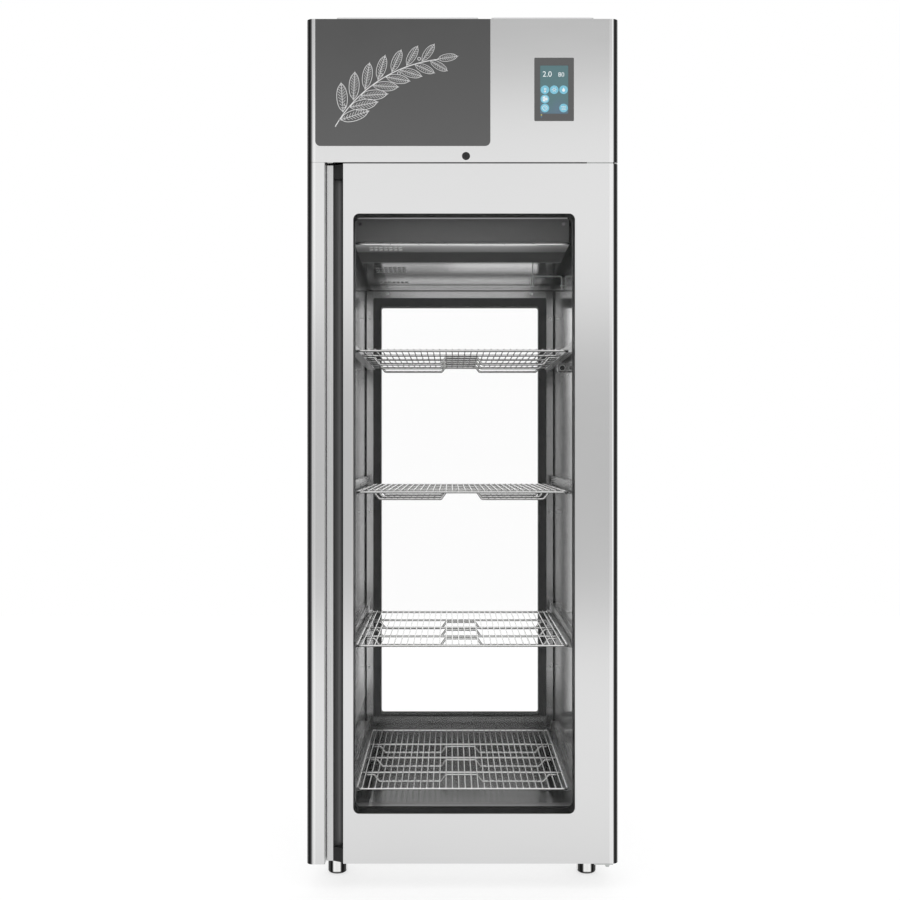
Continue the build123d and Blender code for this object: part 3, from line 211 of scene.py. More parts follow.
def painted(material, value, colour):
    """Lays a colour over the base colour as far as a value says."""
    feed(material, over(material, value, fed(material), colour))


def darkened(material, shade):
    """Multiplies the base colour by a shade."""
    feed(material, times(material, fed(material), shade))


def glowing(material, colour, strength):
    """Gives a material a faint light of its own."""
    feed(material, colour, "Emission Color")
    feed(material, strength, "Emission Strength")
    return material


# Finishes


def finish(name, colour, roughness, metallic=0.0, specular=0.5):
    """A material with these plain values on its shader."""
    material = bpy.data.materials.new(name)
    material.use_nodes = True
    feed(material, colour)
    feed(material, roughness, "Roughness")
    feed(material, metallic, "Metallic")
    feed(material, specular, "Specular IOR Level")
    return material


def brushed(name, colour, low, high, stretch, metallic=1.0):
    """Brushed metal: fine streaks in colour, roughness and relief, with a slow cloudiness over them."""
    material = finish(name, colour, (low + high) / 2, metallic)
    streaks = grain(material, stretch, detail=2.0)
    cloud = grain(material, (2.2, 2.2, 1.4), detail=2.0)
    worn = reckoned(material, "MULTIPLY", reckoned(material, "ADD", streaks, cloud), 0.5)
    feed(material, over(material, between(material, worn, 0, 1), scaled(colour, 0.975), scaled(colour, 1.02)))
    feed(material, between(material, worn, low, high), "Roughness")
    relief(material, streaks, BRUSHED_DEPTH)
    return material


def moulded(name, colour, roughness, size, height, specular=0.4):
    """Moulded plastic, rubber or enamel with a fine even grain."""
    material = finish(name, colour, roughness, specular=specular)
    specks = grain(material, grey(size), detail=2.0)
    feed(material, over(material, between(material, specks, 0, 1), scaled(colour, 0.9), scaled(colour, 1.1)))
    feed(material, between(material, specks, roughness - 0.04, roughness + 0.06), "Roughness")
    relief(material, specks, height)
    return material


side_steel = brushed("side_steel", grey(0.80), 0.34, 0.42, (7, 7, 900), metallic=0.6)
rail_steel = brushed("rail_steel", grey(0.28), 0.24, 0.32, (420, 5, 420))
# Pale bead finish: a painted highlight line along the top of the door's glass.
bead_painted_highlight = brushed("bead_painted_highlight", grey(0.64), 0.4, 0.5, (4, 300, 300), metallic=0.1)
small_steel = brushed("small_steel", (0.62, 0.64, 0.63), 0.25, 0.34, grey(300))
fin_aluminium = brushed("fin_aluminium", (0.72, 0.73, 0.75), 0.3, 0.4, (20, 20, 200))
copper = brushed("copper_pipe", (0.72, 0.36, 0.22), 0.24, 0.36, grey(90))
# Pale finish for the front vent collars: painted light.
collar_painted_light = brushed("collar_painted_light", grey(0.86), 0.3, 0.4, grey(300), metallic=0.1)
black_plastic = moulded("black_plastic", tone("232323"), 0.38, 900, 0.00001)
breaker_plastic = moulded("breaker_plastic", tone("3c3c3c"), 0.5, 700, 0.00001)
spacer_black = moulded("spacer_black", tone("131313"), 0.5, 500, 0.000004, 0.1)
border_print = moulded("border_print", tone("484848"), 0.5, 500, 0.000002, 0.2)
rubber = moulded("seal_rubber", tone("1b1b1b"), 0.6, 600, 0.00002, 0.25)
enamel = moulded("black_enamel", tone("1c1c1e"), 0.3, 220, 0.00001, 0.5)
foam = moulded("foam", (0.80, 0.72, 0.48), 0.85, 160, 0.0003, 0.1)
lamp_plastic = moulded("lamp_plastic", (0.86, 0.86, 0.83), 0.35, 300, 0.000005)
print_white = moulded("print_white", tone("e6e6e6"), 0.5, 700, 0.000002, 0.3)


def casing_metal():
    """The casing's bright brushed steel. Its rounded front edges carry painted shade, with a painted
    highlight line beside each.
    """
    material = brushed("casing_steel", grey(0.80), 0.11, 0.15, (7, 7, 900))
    flat_half, edge_half = 0.350, 0.375
    left = along(material, "X", -flat_half, -edge_half)
    right = along(material, "X", flat_half, edge_half)
    # Painted highlight: a light line beside each rounded edge.
    for side, line_end in ((left, 0.34), (right, 0.46)):
        line = shades(material, side,
                      (0.0, 0.0), (0.1, 0.0), (0.2, 1.0), (line_end, 1.0), (line_end + 0.06, 0.0))
        painted(material, line, grey(0.9))
    # Painted shade on the rounded front edges.
    edge_shade_left = shades(material, left,
                       (0.0, 1.0), (0.34, 1.0), (0.46, 0.7), (0.5, 0.4), (0.56, 0.075), (1.0, 0.06))
    edge_shade_right = shades(material, right, (0.0, 1.0), (0.5, 1.0), (0.53, 0.7), (0.57, 0.09), (1.0, 0.07))
    painted_edge_shade = times(material, fed(material), times(material, edge_shade_left, edge_shade_right))
    painted(material, facing(material, "Y", -0.1, -0.2), painted_edge_shade)
    flank = shades(material, facing(material, "X", -1, 1),
                   (0.0, 1.0), (0.04, 1.0), (0.08, 0.0), (0.92, 0.0), (0.96, 1.0))
    feed(material, over(material, flank, fed(material, "Roughness"), grey(0.38)), "Roughness")
    feed(material, mapped(material, flank, 0, 1, 1.0, 0.6), "Metallic")
    return material


def wire_metal():
    """Bright wire, light on top, with painted shade darkening it underneath."""
    material = brushed("rack_wire", (0.90, 0.90, 0.89), 0.10, 0.18, grey(60))
    # Painted shade: the base colour darkens as the surface turns downwards.
    darkened(material, shades(material, facing(material, "Z", -1, 1),
                              (0.0, 0.1), (0.25, 0.18), (0.42, 0.7), (0.56, 1.0)))
    return material


def leg_metal():
    """Polished tube with painted shade: a light middle between darkened sides, and a darkened rounded foot.
    """
    material = brushed("leg_steel", (0.95, 0.95, 0.94), 0.12, 0.2, (40, 40, 700))
    # Painted shade on the tube's sides and on its rounded foot.
    darkened(material, shades(material, facing(material, "X", -1, 1),
                              (0.0, 1.0), (0.02, 1.0), (0.05, 0.05), (0.27, 0.05), (0.34, 1.0),
                              (0.66, 1.0), (0.73, 0.05), (0.95, 0.05), (0.98, 1.0)))
    darkened(material, shades(material, facing(material, "Z", -1, 1), (0.0, 0.06), (0.35, 0.1), (0.46, 1.0)))
    return material


def clear_pane():
    """Float glass: each face mirrors a few hundredths of the room and lets the rest through."""
    material = finish("clear_glass", (0.97, 1.0, 0.99), 0.02, metallic=1.0)
    relief(material, grain(material, grey(1.5), detail=1.0), 0.00001)
    feed(material, 0.005, "Alpha")
    return material


def grip_metal():
    """The grip: a bright strip beside the stile, and a channel anodised dark, with a painted highlight in its
    middle and painted shade deepening towards its right end.
    """
    material = brushed("grip_aluminium", grey(0.70), 0.22, 0.3, (400, 400, 4))
    channel_start, channel_end = -0.3132, -0.2832
    channel = past(material, "X", channel_start)
    # The channel's own dark anodising, with a painted highlight in the middle and painted shade towards the
    # undercut.
    anodised_and_shaded = shades(material, along(material, "X", channel_start, channel_end),
                      (0.0, 0.09), (0.25, 0.12), (0.5, 0.13), (0.62, 0.04), (0.7, 0.012), (1.0, 0.01))
    painted(material, channel, anodised_and_shaded)
    feed(material, mapped(material, channel, 0, 1, 1, 0), "Metallic")
    return material


def display_frame():
    """The display's dark frame, with a yellow and a blue signal lamp printed under the glass."""
    material = moulded("bezel_plastic", tone("5f5f5f"), 0.4, 800, 0.000008, 0.3)
    lamp_x, lamp_radius = 0.1900, 0.0016
    for lamp_z, code in ((1.8639, "cfc57a"), (1.8593, "56809c")):
        painted(material, spot(material, lamp_x, lamp_z, lamp_radius), tone(code))
    return material


def header_film():
    """The dark printed film of the header: satin, a little lighter towards its foot."""
    material = finish("graphic_film", tone("5d5d5d"), 0.4, specular=0.2)
    film_top, film_foot = 2.095, 1.789
    cloud = grain(material, grey(9))
    graded = over(material, along(material, "Z", film_top, film_foot), tone("545454"), tone("636363"))
    feed(material, over(material, between(material, cloud, 0, 0.25), graded, tone("5e5e5e")))
    feed(material, between(material, cloud, 0.36, 0.44), "Roughness")
    relief(material, grain(material, grey(700)), 0.000002)
    return material


def liner_steel():
    """The chamber's satin steel, with painted light: a matt pale paint at the head and foot of the left wall,
    on most of the right wall and at the front of the basin, and painted shade at the very foot of the left
    wall."""
    material = brushed("chamber_steel", grey(0.62), 0.10, 0.16, (5, 5, 420))
    left_wall = facing(material, "X", 0.4, 0.6)
    right_wall = facing(material, "X", -0.4, -0.6)
    bottom = facing(material, "Z", 0.4, 0.6)
    foot, head, front, back = 0.14, 1.69, -0.36, 0.36
    height = along(material, "Z", foot, head)
    depth = along(material, "Y", front, back)
    lit_left = shades(material, height, (0.0, 0.3), (0.108, 0.3), (0.111, 0.9), (0.17, 0.7), (0.23, 0.0),
                      (0.86, 0.0), (0.89, 0.6), (1.0, 0.6))
    lit_left = times(material, left_wall, lit_left)
    lit_right = shades(material, height, (0.0, 0.5), (0.76, 0.5), (0.79, 0.0), (1.0, 0.0))
    lit_right = times(material, right_wall, lit_right)
    lit_basin = shades(material, depth, (0.0, 0.85), (0.2, 0.8), (0.28, 0.4), (0.33, 0.0), (1.0, 0.0))
    lit_basin = times(material, bottom, lit_basin)
    lit = over(material, lit_basin, over(material, lit_right, lit_left, lit_right), lit_basin)
    # Painted light and shade: pale paint in the lit bands, dark paint at the very foot of the left wall.
    painted_light_and_shade = shades(material, height,
                  (0.0, 0.16), (0.108, 0.16), (0.111, 1.0), (0.25, 1.0), (0.3, 0.3), (1.0, 0.3))
    painted_light_and_shade = over(material, lit_right, painted_light_and_shade, grey(0.8))
    painted(material, lit, over(material, lit_basin, painted_light_and_shade, grey(1.0)))
    feed(material, mapped(material, lit, 0, 1, 1, 0), "Metallic")
    return material


def window_steel():
    """The frame of the rear window, with painted shade: darker below the glass, on the right and a little
    along its top.
    """
    material = brushed("window_steel", grey(0.62), 0.12, 0.18, (5, 5, 420))
    frame_foot, pane_foot, pane_head, frame_head, pane_side = 0.142, 0.262, 1.515, 1.539, 0.262
    # Painted shade below the glass, beside it on the right and along the top.
    below = shades(material, along(material, "Z", frame_foot, pane_foot),
                   (0.0, 0.14), (0.7, 0.24), (0.9, 0.34), (1.0, 1.0))
    beside = mapped(material, past(material, "X", pane_side), 0, 1, 0.72, 0.38)
    above = along(material, "Z", pane_head, frame_head)
    feed(material, times(material, times(material, below, beside), mapped(material, above, 0, 1, 1.0, 0.85)))
    return material


HOUSING_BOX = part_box("plenum_housing")
HEM_FACE, HOUSING_BACK = HOUSING_BOX[0][1], HOUSING_BOX[1][1]
HOUSING_FRONT = HEM_FACE + 0.002
HEM_FOOT, HEM_TOP = 1.575, 1.5825


def housing_steel():
    """The evaporator housing: a dark fascia whose two screw heads are painted one in shade and one lit, a hem
    with a painted highlight at its foot, and an underside in painted shade from the front hem to the intake,
    with painted light further back and painted shade at its sides.
    """
    material = brushed("plenum_steel", grey(0.6), 0.12, 0.2, (5, 5, 420))
    fascia_back, intake_front, intake_half = -0.2745, -0.030, 0.214
    above_hem = past(material, "Z", HEM_TOP)
    fascia = reckoned(material, "MULTIPLY", above_hem,
                      reckoned(material, "SUBTRACT", 1, past(material, "Y", fascia_back)))
    # Painted highlight at the foot of the hem, fading to painted shade at its top.
    hem = shades(material, along(material, "Z", HEM_FOOT, HEM_TOP),
                 (0.0, 0.45), (0.2, 0.25), (0.5, 0.12), (1.0, 0.08))
    painted(material, along(material, "Y", fascia_back + 0.0005, fascia_back), hem)
    painted(material, fascia, tone("626262"))
    # The screw heads: the left one painted in shade, the right one painted lit.
    screw_x, screw_z, screw_radius = 0.257, 1.6280, 0.0042
    for x, code in ((-screw_x, "2c2c2c"), (screw_x, "8a8a8a")):
        painted(material, spot(material, x, screw_z, screw_radius), tone(code))
    feed(material, mapped(material, fascia, 0, 1, 1, 0), "Metallic")

    depth = along(material, "Y", HOUSING_FRONT, HOUSING_BACK)
    # Painted highlight and shade along the underside's depth: a bright strip just behind the hem, shade back
    # to the intake, painted light further back.
    shade = shades(material, depth,
                   (0.0, 0.75), (0.001, 0.75), (0.003, 1.0), (0.010, 0.95), (0.018, 0.72), (0.04, 0.62),
                   (0.055, 0.5), (0.08, 0.38), (0.10, 0.31), (0.125, 0.24), (0.15, 0.15), (0.17, 0.115),
                   (0.392, 0.115), (0.412, 0.5), (0.46, 0.52), (0.50, 0.5), (0.56, 0.74), (0.64, 1.0),
                   (0.71, 0.85), (0.76, 0.7), (0.82, 0.6), (0.9, 0.5), (1.0, 0.4))
    behind = past(material, "Y", intake_front)
    # Painted shade on the underside's sides behind the intake.
    dim_sides = mapped(material, aside(material, intake_half, intake_half + 0.006), 0, 1, 1.0, 0.3)
    underside = over(material, behind, shade, times(material, shade, dim_sides))
    low = along(material, "Z", HEM_FOOT + 0.0035, HEM_FOOT + 0.0025)
    painted(material, low, underside)
    matt = shades(material, depth,
                  (0.0, 0.16), (0.01, 0.45), (0.13, 0.45), (0.15, 0.95), (0.355, 0.95), (0.37, 0.16))
    satin = over(material, fascia, fed(material, "Roughness"), grey(0.5))
    feed(material, over(material, low, satin, matt), "Roughness")
    # Painted shade at the sides: a dark specular tint dims the grazing reflection there.
    grazing_shade = shades(material, aside(material, intake_half, intake_half + 0.036),
                    (0.0, 1.0), (0.66, 1.0), (0.76, 0.35), (1.0, 0.3))
    feed(material, over(material, behind, grey(1.0), grazing_shade), "Specular Tint")
    return material


def screen_glass():
    """The lit display: blue-grey, greener at the top and bluer below, with a faint glow."""
    material = finish("display_glass", tone("5f7882"), 0.18, specular=0.4)
    screen_foot, screen_top = 1.866, 1.984
    cloud = grain(material, (30, 30, 18), detail=1.0)
    mixed = reckoned(material, "MULTIPLY_ADD", cloud, 0.6, along(material, "Z", screen_foot, screen_top))
    glow = over(material, between(material, mixed, 0, 1), tone("5a7080"), tone("557377"))
    feed(material, glow)
    return glowing(material, glow, 0.18)


def lit_sign(name, colour):
    """A lit sign on the display."""
    return glowing(moulded(name, colour, 0.35, 500, 0.000002), colour, 0.06)


casing_steel = casing_metal()
wire_steel = wire_metal()
leg_steel = leg_metal()
chamber_steel = liner_steel()
glass = clear_pane()
grip_aluminium = grip_metal()
bezel_plastic = display_frame()
film = header_film()
plenum_steel = housing_steel()
frame_steel = window_steel()
display_glass = screen_glass()
icon_blue = lit_sign("icon_blue", tone("80c4da"))
icon_white = lit_sign("icon_white", tone("eef6fa"))

FINISHES = {
    casing_steel: ["front_stile", "header_panel", "door_skin", "door_inner_frame"],
    side_steel: ["side_panel_left", "side_panel_right", "rear_outer_frame", "rear_grille", "top_panel",
                 "top_lids", "base_pan", "compartment_deck"],
    chamber_steel: ["inner_liner"],
    frame_steel: ["rear_inner_frame"],
    rail_steel: ["guide_rails", "wall_sensor"],
    plenum_steel: ["plenum_housing"],
    wire_steel: ["rack_1", "rack_2", "rack_3", "rack_4"],
    leg_steel: ["foot_front_left", "foot_front_right", "foot_rear_left", "foot_rear_right"],
    small_steel: ["rear_frame_screws", "lock_cam", "hinge_upper", "hinge_lower", "probe"],
    grip_aluminium: ["grip_profile"],
    fin_aluminium: ["evaporator_coil", "condenser", "condenser_fan_blades"],
    copper: ["refrigerant_pipes"],
    black_plastic: ["lock_housing", "power_inlet", "grip_caps", "hinge_bushes", "evaporator_fan_blades",
                    "condenser_shroud"],
    breaker_plastic: ["breaker_frame"],
    spacer_black: ["door_glass_spacer", "rear_glass_spacer"],
    rubber: ["rear_window_gasket", "door_gasket", "compressor_mounts"],
    enamel: ["compressor", "evaporator_fan_motor", "condenser_fan_motor", "lock_barrel"],
    bezel_plastic: ["display_bezel", "control_box"],
    display_glass: ["display_screen"],
    foam: ["insulation", "door_core_foam"],
    lamp_plastic: ["light_bar"],
    film: ["graphic_plate"],
    glass: ["door_glass", "rear_glass"],
}
for material, names in FINISHES.items():
    for name in names:
        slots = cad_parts[name].data.materials
        slots.clear()
        slots.append(material)


# Modelling


def corners_of(name):
    """The low and the high corner of one piece's box."""
    low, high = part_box(name)
    return Vector(low), Vector(high)


def begin(add, **options):
    """Adds a primitive by itself and opens it for editing."""
    bpy.ops.object.select_all(action="DESELECT")
    add(**options)
    bpy.ops.object.transform_apply(location=False, rotation=True, scale=True)
    bpy.ops.object.mode_set(mode="EDIT")
    return bpy.context.object


def begin_round(radius, points, **options):
    """Opens a round sheet for editing."""
    return begin(bpy.ops.mesh.primitive_circle_add, radius=radius, vertices=points, fill_type="NGON",
                 **options)


def begin_block(size, location):
    """Opens a block for editing."""
    return begin(bpy.ops.mesh.primitive_cube_add, size=1, scale=size, location=location)


def pick(piece, kind, wanted):
    """Selects the verts, edges or faces whose middle passes a test."""
    bpy.ops.mesh.select_mode(type={"verts": "VERT", "edges": "EDGE", "faces": "FACE"}[kind])
    bpy.ops.mesh.select_all(action="DESELECT")
    mesh = bmesh.from_edit_mesh(piece.data)
    for item in getattr(mesh, kind):
        corners = [item] if kind == "verts" else item.verts
        middle = sum((v.co for v in corners), Vector()) / len(corners)
        if wanted(middle):
            item.select_set(True)
    bmesh.update_edit_mesh(piece.data)


def select_sheet():
    bpy.ops.mesh.select_mode(type="FACE")
    bpy.ops.mesh.select_all(action="SELECT")


def hollow(width):
    """Leaves a band of this width along the outline of the sheet in edit mode."""
    select_sheet()
    bpy.ops.mesh.inset(thickness=width)
    bpy.ops.mesh.delete(type="FACE")


def thicken(way):
    """Draws the sheet in edit mode out along a way, with its faces outwards."""
    bpy.ops.mesh.select_all(action="SELECT")
    bpy.ops.mesh.extrude_region_move(TRANSFORM_OT_translate={"value": way})
    bpy.ops.mesh.select_all(action="SELECT")
    bpy.ops.mesh.normals_make_consistent(inside=False)


def closed(thickness):
    """Gives the sheet in edit mode its thickness and leaves edit mode."""
    thicken((0, thickness, 0))
    bpy.ops.object.mode_set(mode="OBJECT")


def settle(piece):
    """Leaves edit mode with the place in the mesh."""
    bpy.ops.object.mode_set(mode="OBJECT")
    bpy.ops.object.select_all(action="DESELECT")
    piece.select_set(True)
    bpy.context.view_layer.objects.active = piece
    bpy.ops.object.transform_apply(location=True, rotation=True, scale=True)


def end(piece, name, material, body):
    """Closes a finished piece: place into the mesh, smooth shading, finish, body."""
    settle(piece)
    bpy.ops.object.shade_smooth_by_angle(angle=SMOOTH_BELOW)
    piece.name = name
    piece.data.materials.clear()
    piece.data.materials.append(material)
    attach(piece, body)
    return piece


def moved(piece, x=0.0, y=0.0, z=0.0, turn=0.0, size=1.0):
    """Turns a flat piece in its own plane, sizes it and puts it in place."""
    turned = Matrix.Translation((x, y, z)) @ Matrix.Rotation(math.radians(-turn), 4, "Y")
    piece.data.transform(turned @ Matrix.Scale(size, 4, (1, 0, 0)) @ Matrix.Scale(size, 4, (0, 0, 1)))
    return piece


def copied(piece, **place):
    """A copy with its own mesh, moved from where the first one is."""
    twin = piece.copy()
    twin.data = piece.data.copy()
    bpy.context.scene.collection.objects.link(twin)
    return moved(twin, **place)


def joined(pieces):
    """Several loose pieces as one."""
    bpy.ops.object.select_all(action="DESELECT")
    for piece in pieces:
        piece.select_set(True)
    bpy.context.view_layer.objects.active = pieces[0]
    bpy.ops.object.join()
    return bpy.context.object


def disc(radius, thickness, points=40):
    """A flat disc whose back is at zero, with the rim of its front rounded."""
    piece = begin(bpy.ops.mesh.primitive_cylinder_add, vertices=points, radius=radius, depth=thickness,
                  location=(0, -thickness / 2, 0), rotation=UPRIGHT)
    pick(piece, "faces", lambda m: m.y < -thickness * 0.4)
    bpy.ops.mesh.bevel(offset=thickness * 0.4, segments=2)
    settle(piece)
    return piece


def bar(width, height, thickness):
    """A flat bar whose back is at zero, with round ends."""
    piece = begin_block((width, thickness, height), (0, -thickness / 2, 0))
    pick(piece, "edges", lambda m: abs(m.x) > width * 0.49 and abs(m.z) > height * 0.49)
    bpy.ops.mesh.bevel(offset=min(width, height) * 0.49, segments=3)
    settle(piece)
    return piece


def ring(radius, width, thickness, points=40):
    """A flat ring whose back is at zero."""
    piece = begin_round(radius, points, rotation=UPRIGHT)
    hollow(width)
    closed(-thickness)
    return piece


def drop(radius, thickness):
    """A drop: a disc drawn up to a point."""
    piece = disc(radius, thickness, 24)
    bpy.ops.object.mode_set(mode="EDIT")
    pick(piece, "verts", lambda m: m.z > radius * 0.8)
    bpy.ops.transform.resize(value=(0.12, 1, 1), center_override=(0, 0, 0))
    bpy.ops.transform.translate(value=(0, 0, radius * 0.8))
    bpy.ops.object.mode_set(mode="OBJECT")
    return piece


# Signs on the display

GLASS_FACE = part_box("display_screen")[0][1]
SIGN_RADIUS, SIGN, MARK = 0.0103, 0.00025, 0.00018
MARK_SINK = 0.00003
COLUMNS, ROWS = (0.1984, 0.2207, 0.2434), (1.9246, 1.9024, 1.8806)
READING_Z = 1.9560
FIGURE_SHARE = 0.72


def thermometer():
    tick = {"width": 0.0024, "height": 0.0008, "thickness": MARK}
    return [bar(0.0022, 0.0085, MARK), moved(disc(0.0024, MARK, 20), z=-0.0040),
            moved(bar(**tick), x=0.0028, z=0.0026), moved(bar(**tick), x=0.0028, z=0.0002)]


def frost():
    return [moved(bar(0.0118, 0.0011, MARK), turn=angle) for angle in (0, 60, 120)] + [disc(0.0016, MARK, 16)]


def moisture():
    return [moved(drop(0.0036, MARK), z=-0.0012)]


def fan():
    blade = moved(disc(0.0030, MARK, 20), x=0.0030)
    blades = [blade] + [copied(blade, turn=angle) for angle in (120, 240)]
    return blades + [ring(0.0066, 0.0007, MARK, 28)]


def clock():
    return [ring(0.0060, 0.0011, MARK, 32), moved(bar(0.0010, 0.0046, MARK), z=0.0018),
            moved(bar(0.0036, 0.0010, MARK), x=0.0014)]


def sliders():
    knobs = {-0.0034: -0.0024, 0.0: 0.0028, 0.0034: -0.0006}
    lines = [moved(bar(0.0112, 0.0009, MARK), z=z) for z in knobs]
    return lines + [moved(disc(0.0013, MARK, 16), x=x, z=z) for z, x in knobs.items()]


SIGNS = [(thermometer, 0, 0), (frost, 1, 0), (moisture, 2, 0), (fan, 0, 1), (clock, 0, 2), (sliders, 2, 2)]
for number, (make_mark, column, row) in enumerate(SIGNS, 1):
    place = {"x": COLUMNS[column], "z": ROWS[row]}
    sign = moved(disc(SIGN_RADIUS, SIGN), y=GLASS_FACE, **place)
    end(sign, f"sign_{number}", icon_blue, "cabinet")
    mark = moved(joined(make_mark()), y=GLASS_FACE - SIGN + MARK_SINK, **place)
    end(mark, f"sign_mark_{number}", icon_white, "cabinet")


def figures(text, height, x):
    """Plain figures shown on the glass."""
    bpy.ops.object.select_all(action="DESELECT")
    bpy.ops.object.text_add(rotation=UPRIGHT)
    piece = bpy.context.object
    piece.data.body = text
    piece.data.size = height / FIGURE_SHARE
    piece.data.extrude = MARK / 2
    bpy.ops.object.convert(target="MESH")
    piece = bpy.context.object
    bpy.ops.object.transform_apply(location=True, rotation=True, scale=True)
    return moved(piece, x=x, y=GLASS_FACE - MARK / 2, z=READING_Z)


end(figures("2.0", 0.0135, 0.1925), "reading_cold", icon_white, "cabinet")
end(figures("80", 0.0110, 0.2300), "reading_damp", icon_white, "cabinet")


# Header film and the branch printed on it

FILM_STEP, FILM_CORNER, FILM_EASE = 0.00006, 0.0125, 0.0002
plate_low, plate_high = corners_of("graphic_plate")
PRINT_FACE = plate_low.y + FILM_STEP


def header_sheet():
    """The film: a thin sheet with its two lower corners rounded and its front edge eased."""
    size = plate_high - plate_low
    size.y -= FILM_STEP
    middle = (plate_low + plate_high) / 2
    piece = begin_block(size, (middle.x, PRINT_FACE + size.y / 2, middle.z))
    pick(piece, "edges", lambda m: abs(m.x) > size.x * 0.49 and m.z < -size.z * 0.49)
    bpy.ops.mesh.bevel(offset=FILM_CORNER, segments=8)
    pick(piece, "faces", lambda m: m.y < -size.y * 0.4)
    bpy.ops.mesh.bevel(offset=FILM_EASE, segments=2)
    return piece


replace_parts(end(header_sheet(), "header_sheet", film, "cabinet"), "graphic_plate")

LEAF, STALK = 0.072, 0.002
INK, INK_SINK, OUTLINE, VEIN = 0.00005, 0.00001, 0.0013, 0.0010
SLANT = 48
ARC, ARC_X, ARC_Z = 0.3285, -0.0227, 1.6720
STEM_WIDTH, STEM_TIP, STEM_FOOT = 0.0022, 97, 150
LEAVES, FIRST_LEAF_AT, LEAF_EVERY, LEAF_SPREAD = 15, 147, 3.35, 40
FIRST_LEAF_SIZE, LEAF_SHRINK, TIP_LEAF_SIZE, TIP_LEAF_TURN = 1.06, 0.025, 0.72, 8
BERRIES, BERRY_RADIUS, BERRY_REACH = ((141, 1), (134, -1), (121, 1), (114, -1), (104, 1)), 0.0042, 0.0085


def leaf():
    """One leaf, from its stalk at zero along x: an outline, its midrib and slanting veins."""
    outline = begin_round(0.5, 28, rotation=UPRIGHT)
    bpy.ops.mesh.select_all(action="SELECT")
    bpy.ops.transform.resize(value=(LEAF * 0.86, 1, LEAF * 0.36), center_override=(0, 0, 0))
    for side in (-1, 1):
        pick(outline, "verts", lambda m: m.x * side > LEAF * 0.425)
        bpy.ops.transform.translate(value=(side * LEAF * 0.08, 0, 0))
    hollow(OUTLINE)
    closed(-INK)
    strokes = [outline, bar(LEAF * 1.02, OUTLINE, INK)]
    slant = math.radians(SLANT)
    for step in range(-4, 5):
        reach = LEAF * 0.17 * (1 - (abs(step) / 5.6) ** 2)
        vein_x = step * LEAF * 0.092 + reach / 2 * math.cos(slant)
        for side in (-1, 1):
            vein_z = side * reach / 2 * math.sin(slant)
            strokes.append(moved(bar(reach, VEIN, INK), x=vein_x, z=vein_z, turn=side * SLANT))
    return moved(joined(strokes), x=LEAF / 2 + STALK)


def stem():
    """The stem: part of a thin ring."""
    piece = begin_round(ARC, 180, rotation=UPRIGHT)
    hollow(STEM_WIDTH)
    pick(piece, "faces", lambda m: not STEM_TIP < math.degrees(math.atan2(m.z, m.x)) < STEM_FOOT)
    bpy.ops.mesh.delete(type="FACE")
    closed(-INK)
    return moved(piece, x=ARC_X, z=ARC_Z)


def on_stem(angle, reach=0.0):
    """A place on the stem, or beside it by a reach."""
    turn = math.radians(angle)
    return {"x": ARC_X + (ARC + reach) * math.cos(turn), "z": ARC_Z + (ARC + reach) * math.sin(turn)}


first_leaf = leaf()
branch = [stem(), copied(first_leaf, turn=TIP_LEAF_TURN, size=TIP_LEAF_SIZE, **on_stem(STEM_TIP))]
for step in range(LEAVES):
    angle = FIRST_LEAF_AT - LEAF_EVERY * step
    side = 1 if step % 2 else -1
    branch.append(copied(first_leaf, turn=angle - 90 + side * LEAF_SPREAD,
                         size=FIRST_LEAF_SIZE - LEAF_SHRINK * step, **on_stem(angle)))
for angle, side in BERRIES:
    branch.append(moved(ring(BERRY_RADIUS, OUTLINE, INK, 20), **on_stem(angle, side * BERRY_REACH)))
bpy.data.objects.remove(first_leaf)
end(moved(joined(branch), y=PRINT_FACE + INK_SINK), "header_branch", print_white, "cabinet")


# Collars of the holes in the evaporator housing, and the rivets of its hem

COLLAR, COLLAR_WIDTH, COLLAR_DEPTH = 0.0052, 0.0015, 0.0018
VENT_LEFT, VENT_PITCH, VENT_COLUMNS = -0.232, 0.0124, 7
HEM_DROP, SEAT = 0.025, 0.0002
RIVET_RADIUS, RIVET_HEIGHT, RIVET_X, RIVET_Z = 0.0017, 0.0007, 0.0361, 1.5775


def collar():
    """A pressed collar round one hole: a short ring with its lower lip rounded."""
    piece = begin_round(COLLAR, 14)
    hollow(COLLAR_WIDTH)
    thicken((0, 0, -COLLAR_DEPTH))
    pick(piece, "faces", lambda m: m.z < -COLLAR_DEPTH * 0.95)
    bpy.ops.mesh.bevel(offset=COLLAR_DEPTH / 3, segments=2)
    bpy.ops.object.mode_set(mode="OBJECT")
    return piece


first_collar = collar()
# The front collars get a pale finish as painted light, the rear ones dark steel as painted shade.
for name, metal, shares in (("vent_collars_front", collar_painted_light, (0.04545, 0.08934)),
                            ("vent_collars_rear", rail_steel, (0.4906, 0.5384, 0.58621, 0.85266))):
    collars = []
    for share in shares:
        y = HOUSING_FRONT + share * (HOUSING_BACK - HOUSING_FRONT)
        z = HEM_FOOT - HEM_DROP * share + SEAT
        for column in range(VENT_COLUMNS):
            collars.append(copied(first_collar, x=VENT_LEFT + column * VENT_PITCH, y=y, z=z))
    end(joined(collars), name, metal, "cabinet")
bpy.data.objects.remove(first_collar)

rivets = [moved(disc(RIVET_RADIUS, RIVET_HEIGHT, 16), x=RIVET_X * step, y=HEM_FACE + SEAT / 2, z=RIVET_Z)
          for step in (-5, -3, -1, 1, 3, 5)]
end(joined(rivets), "hem_rivets", rail_steel, "cabinet")


# The pale bead that closes the top of the door's glass; its pale finish stands in as a painted highlight

BEAD_LENGTH, BEAD_HEIGHT, BEAD_THICKNESS, BEAD_DROP = 0.515, 0.0024, 0.0016, 0.012


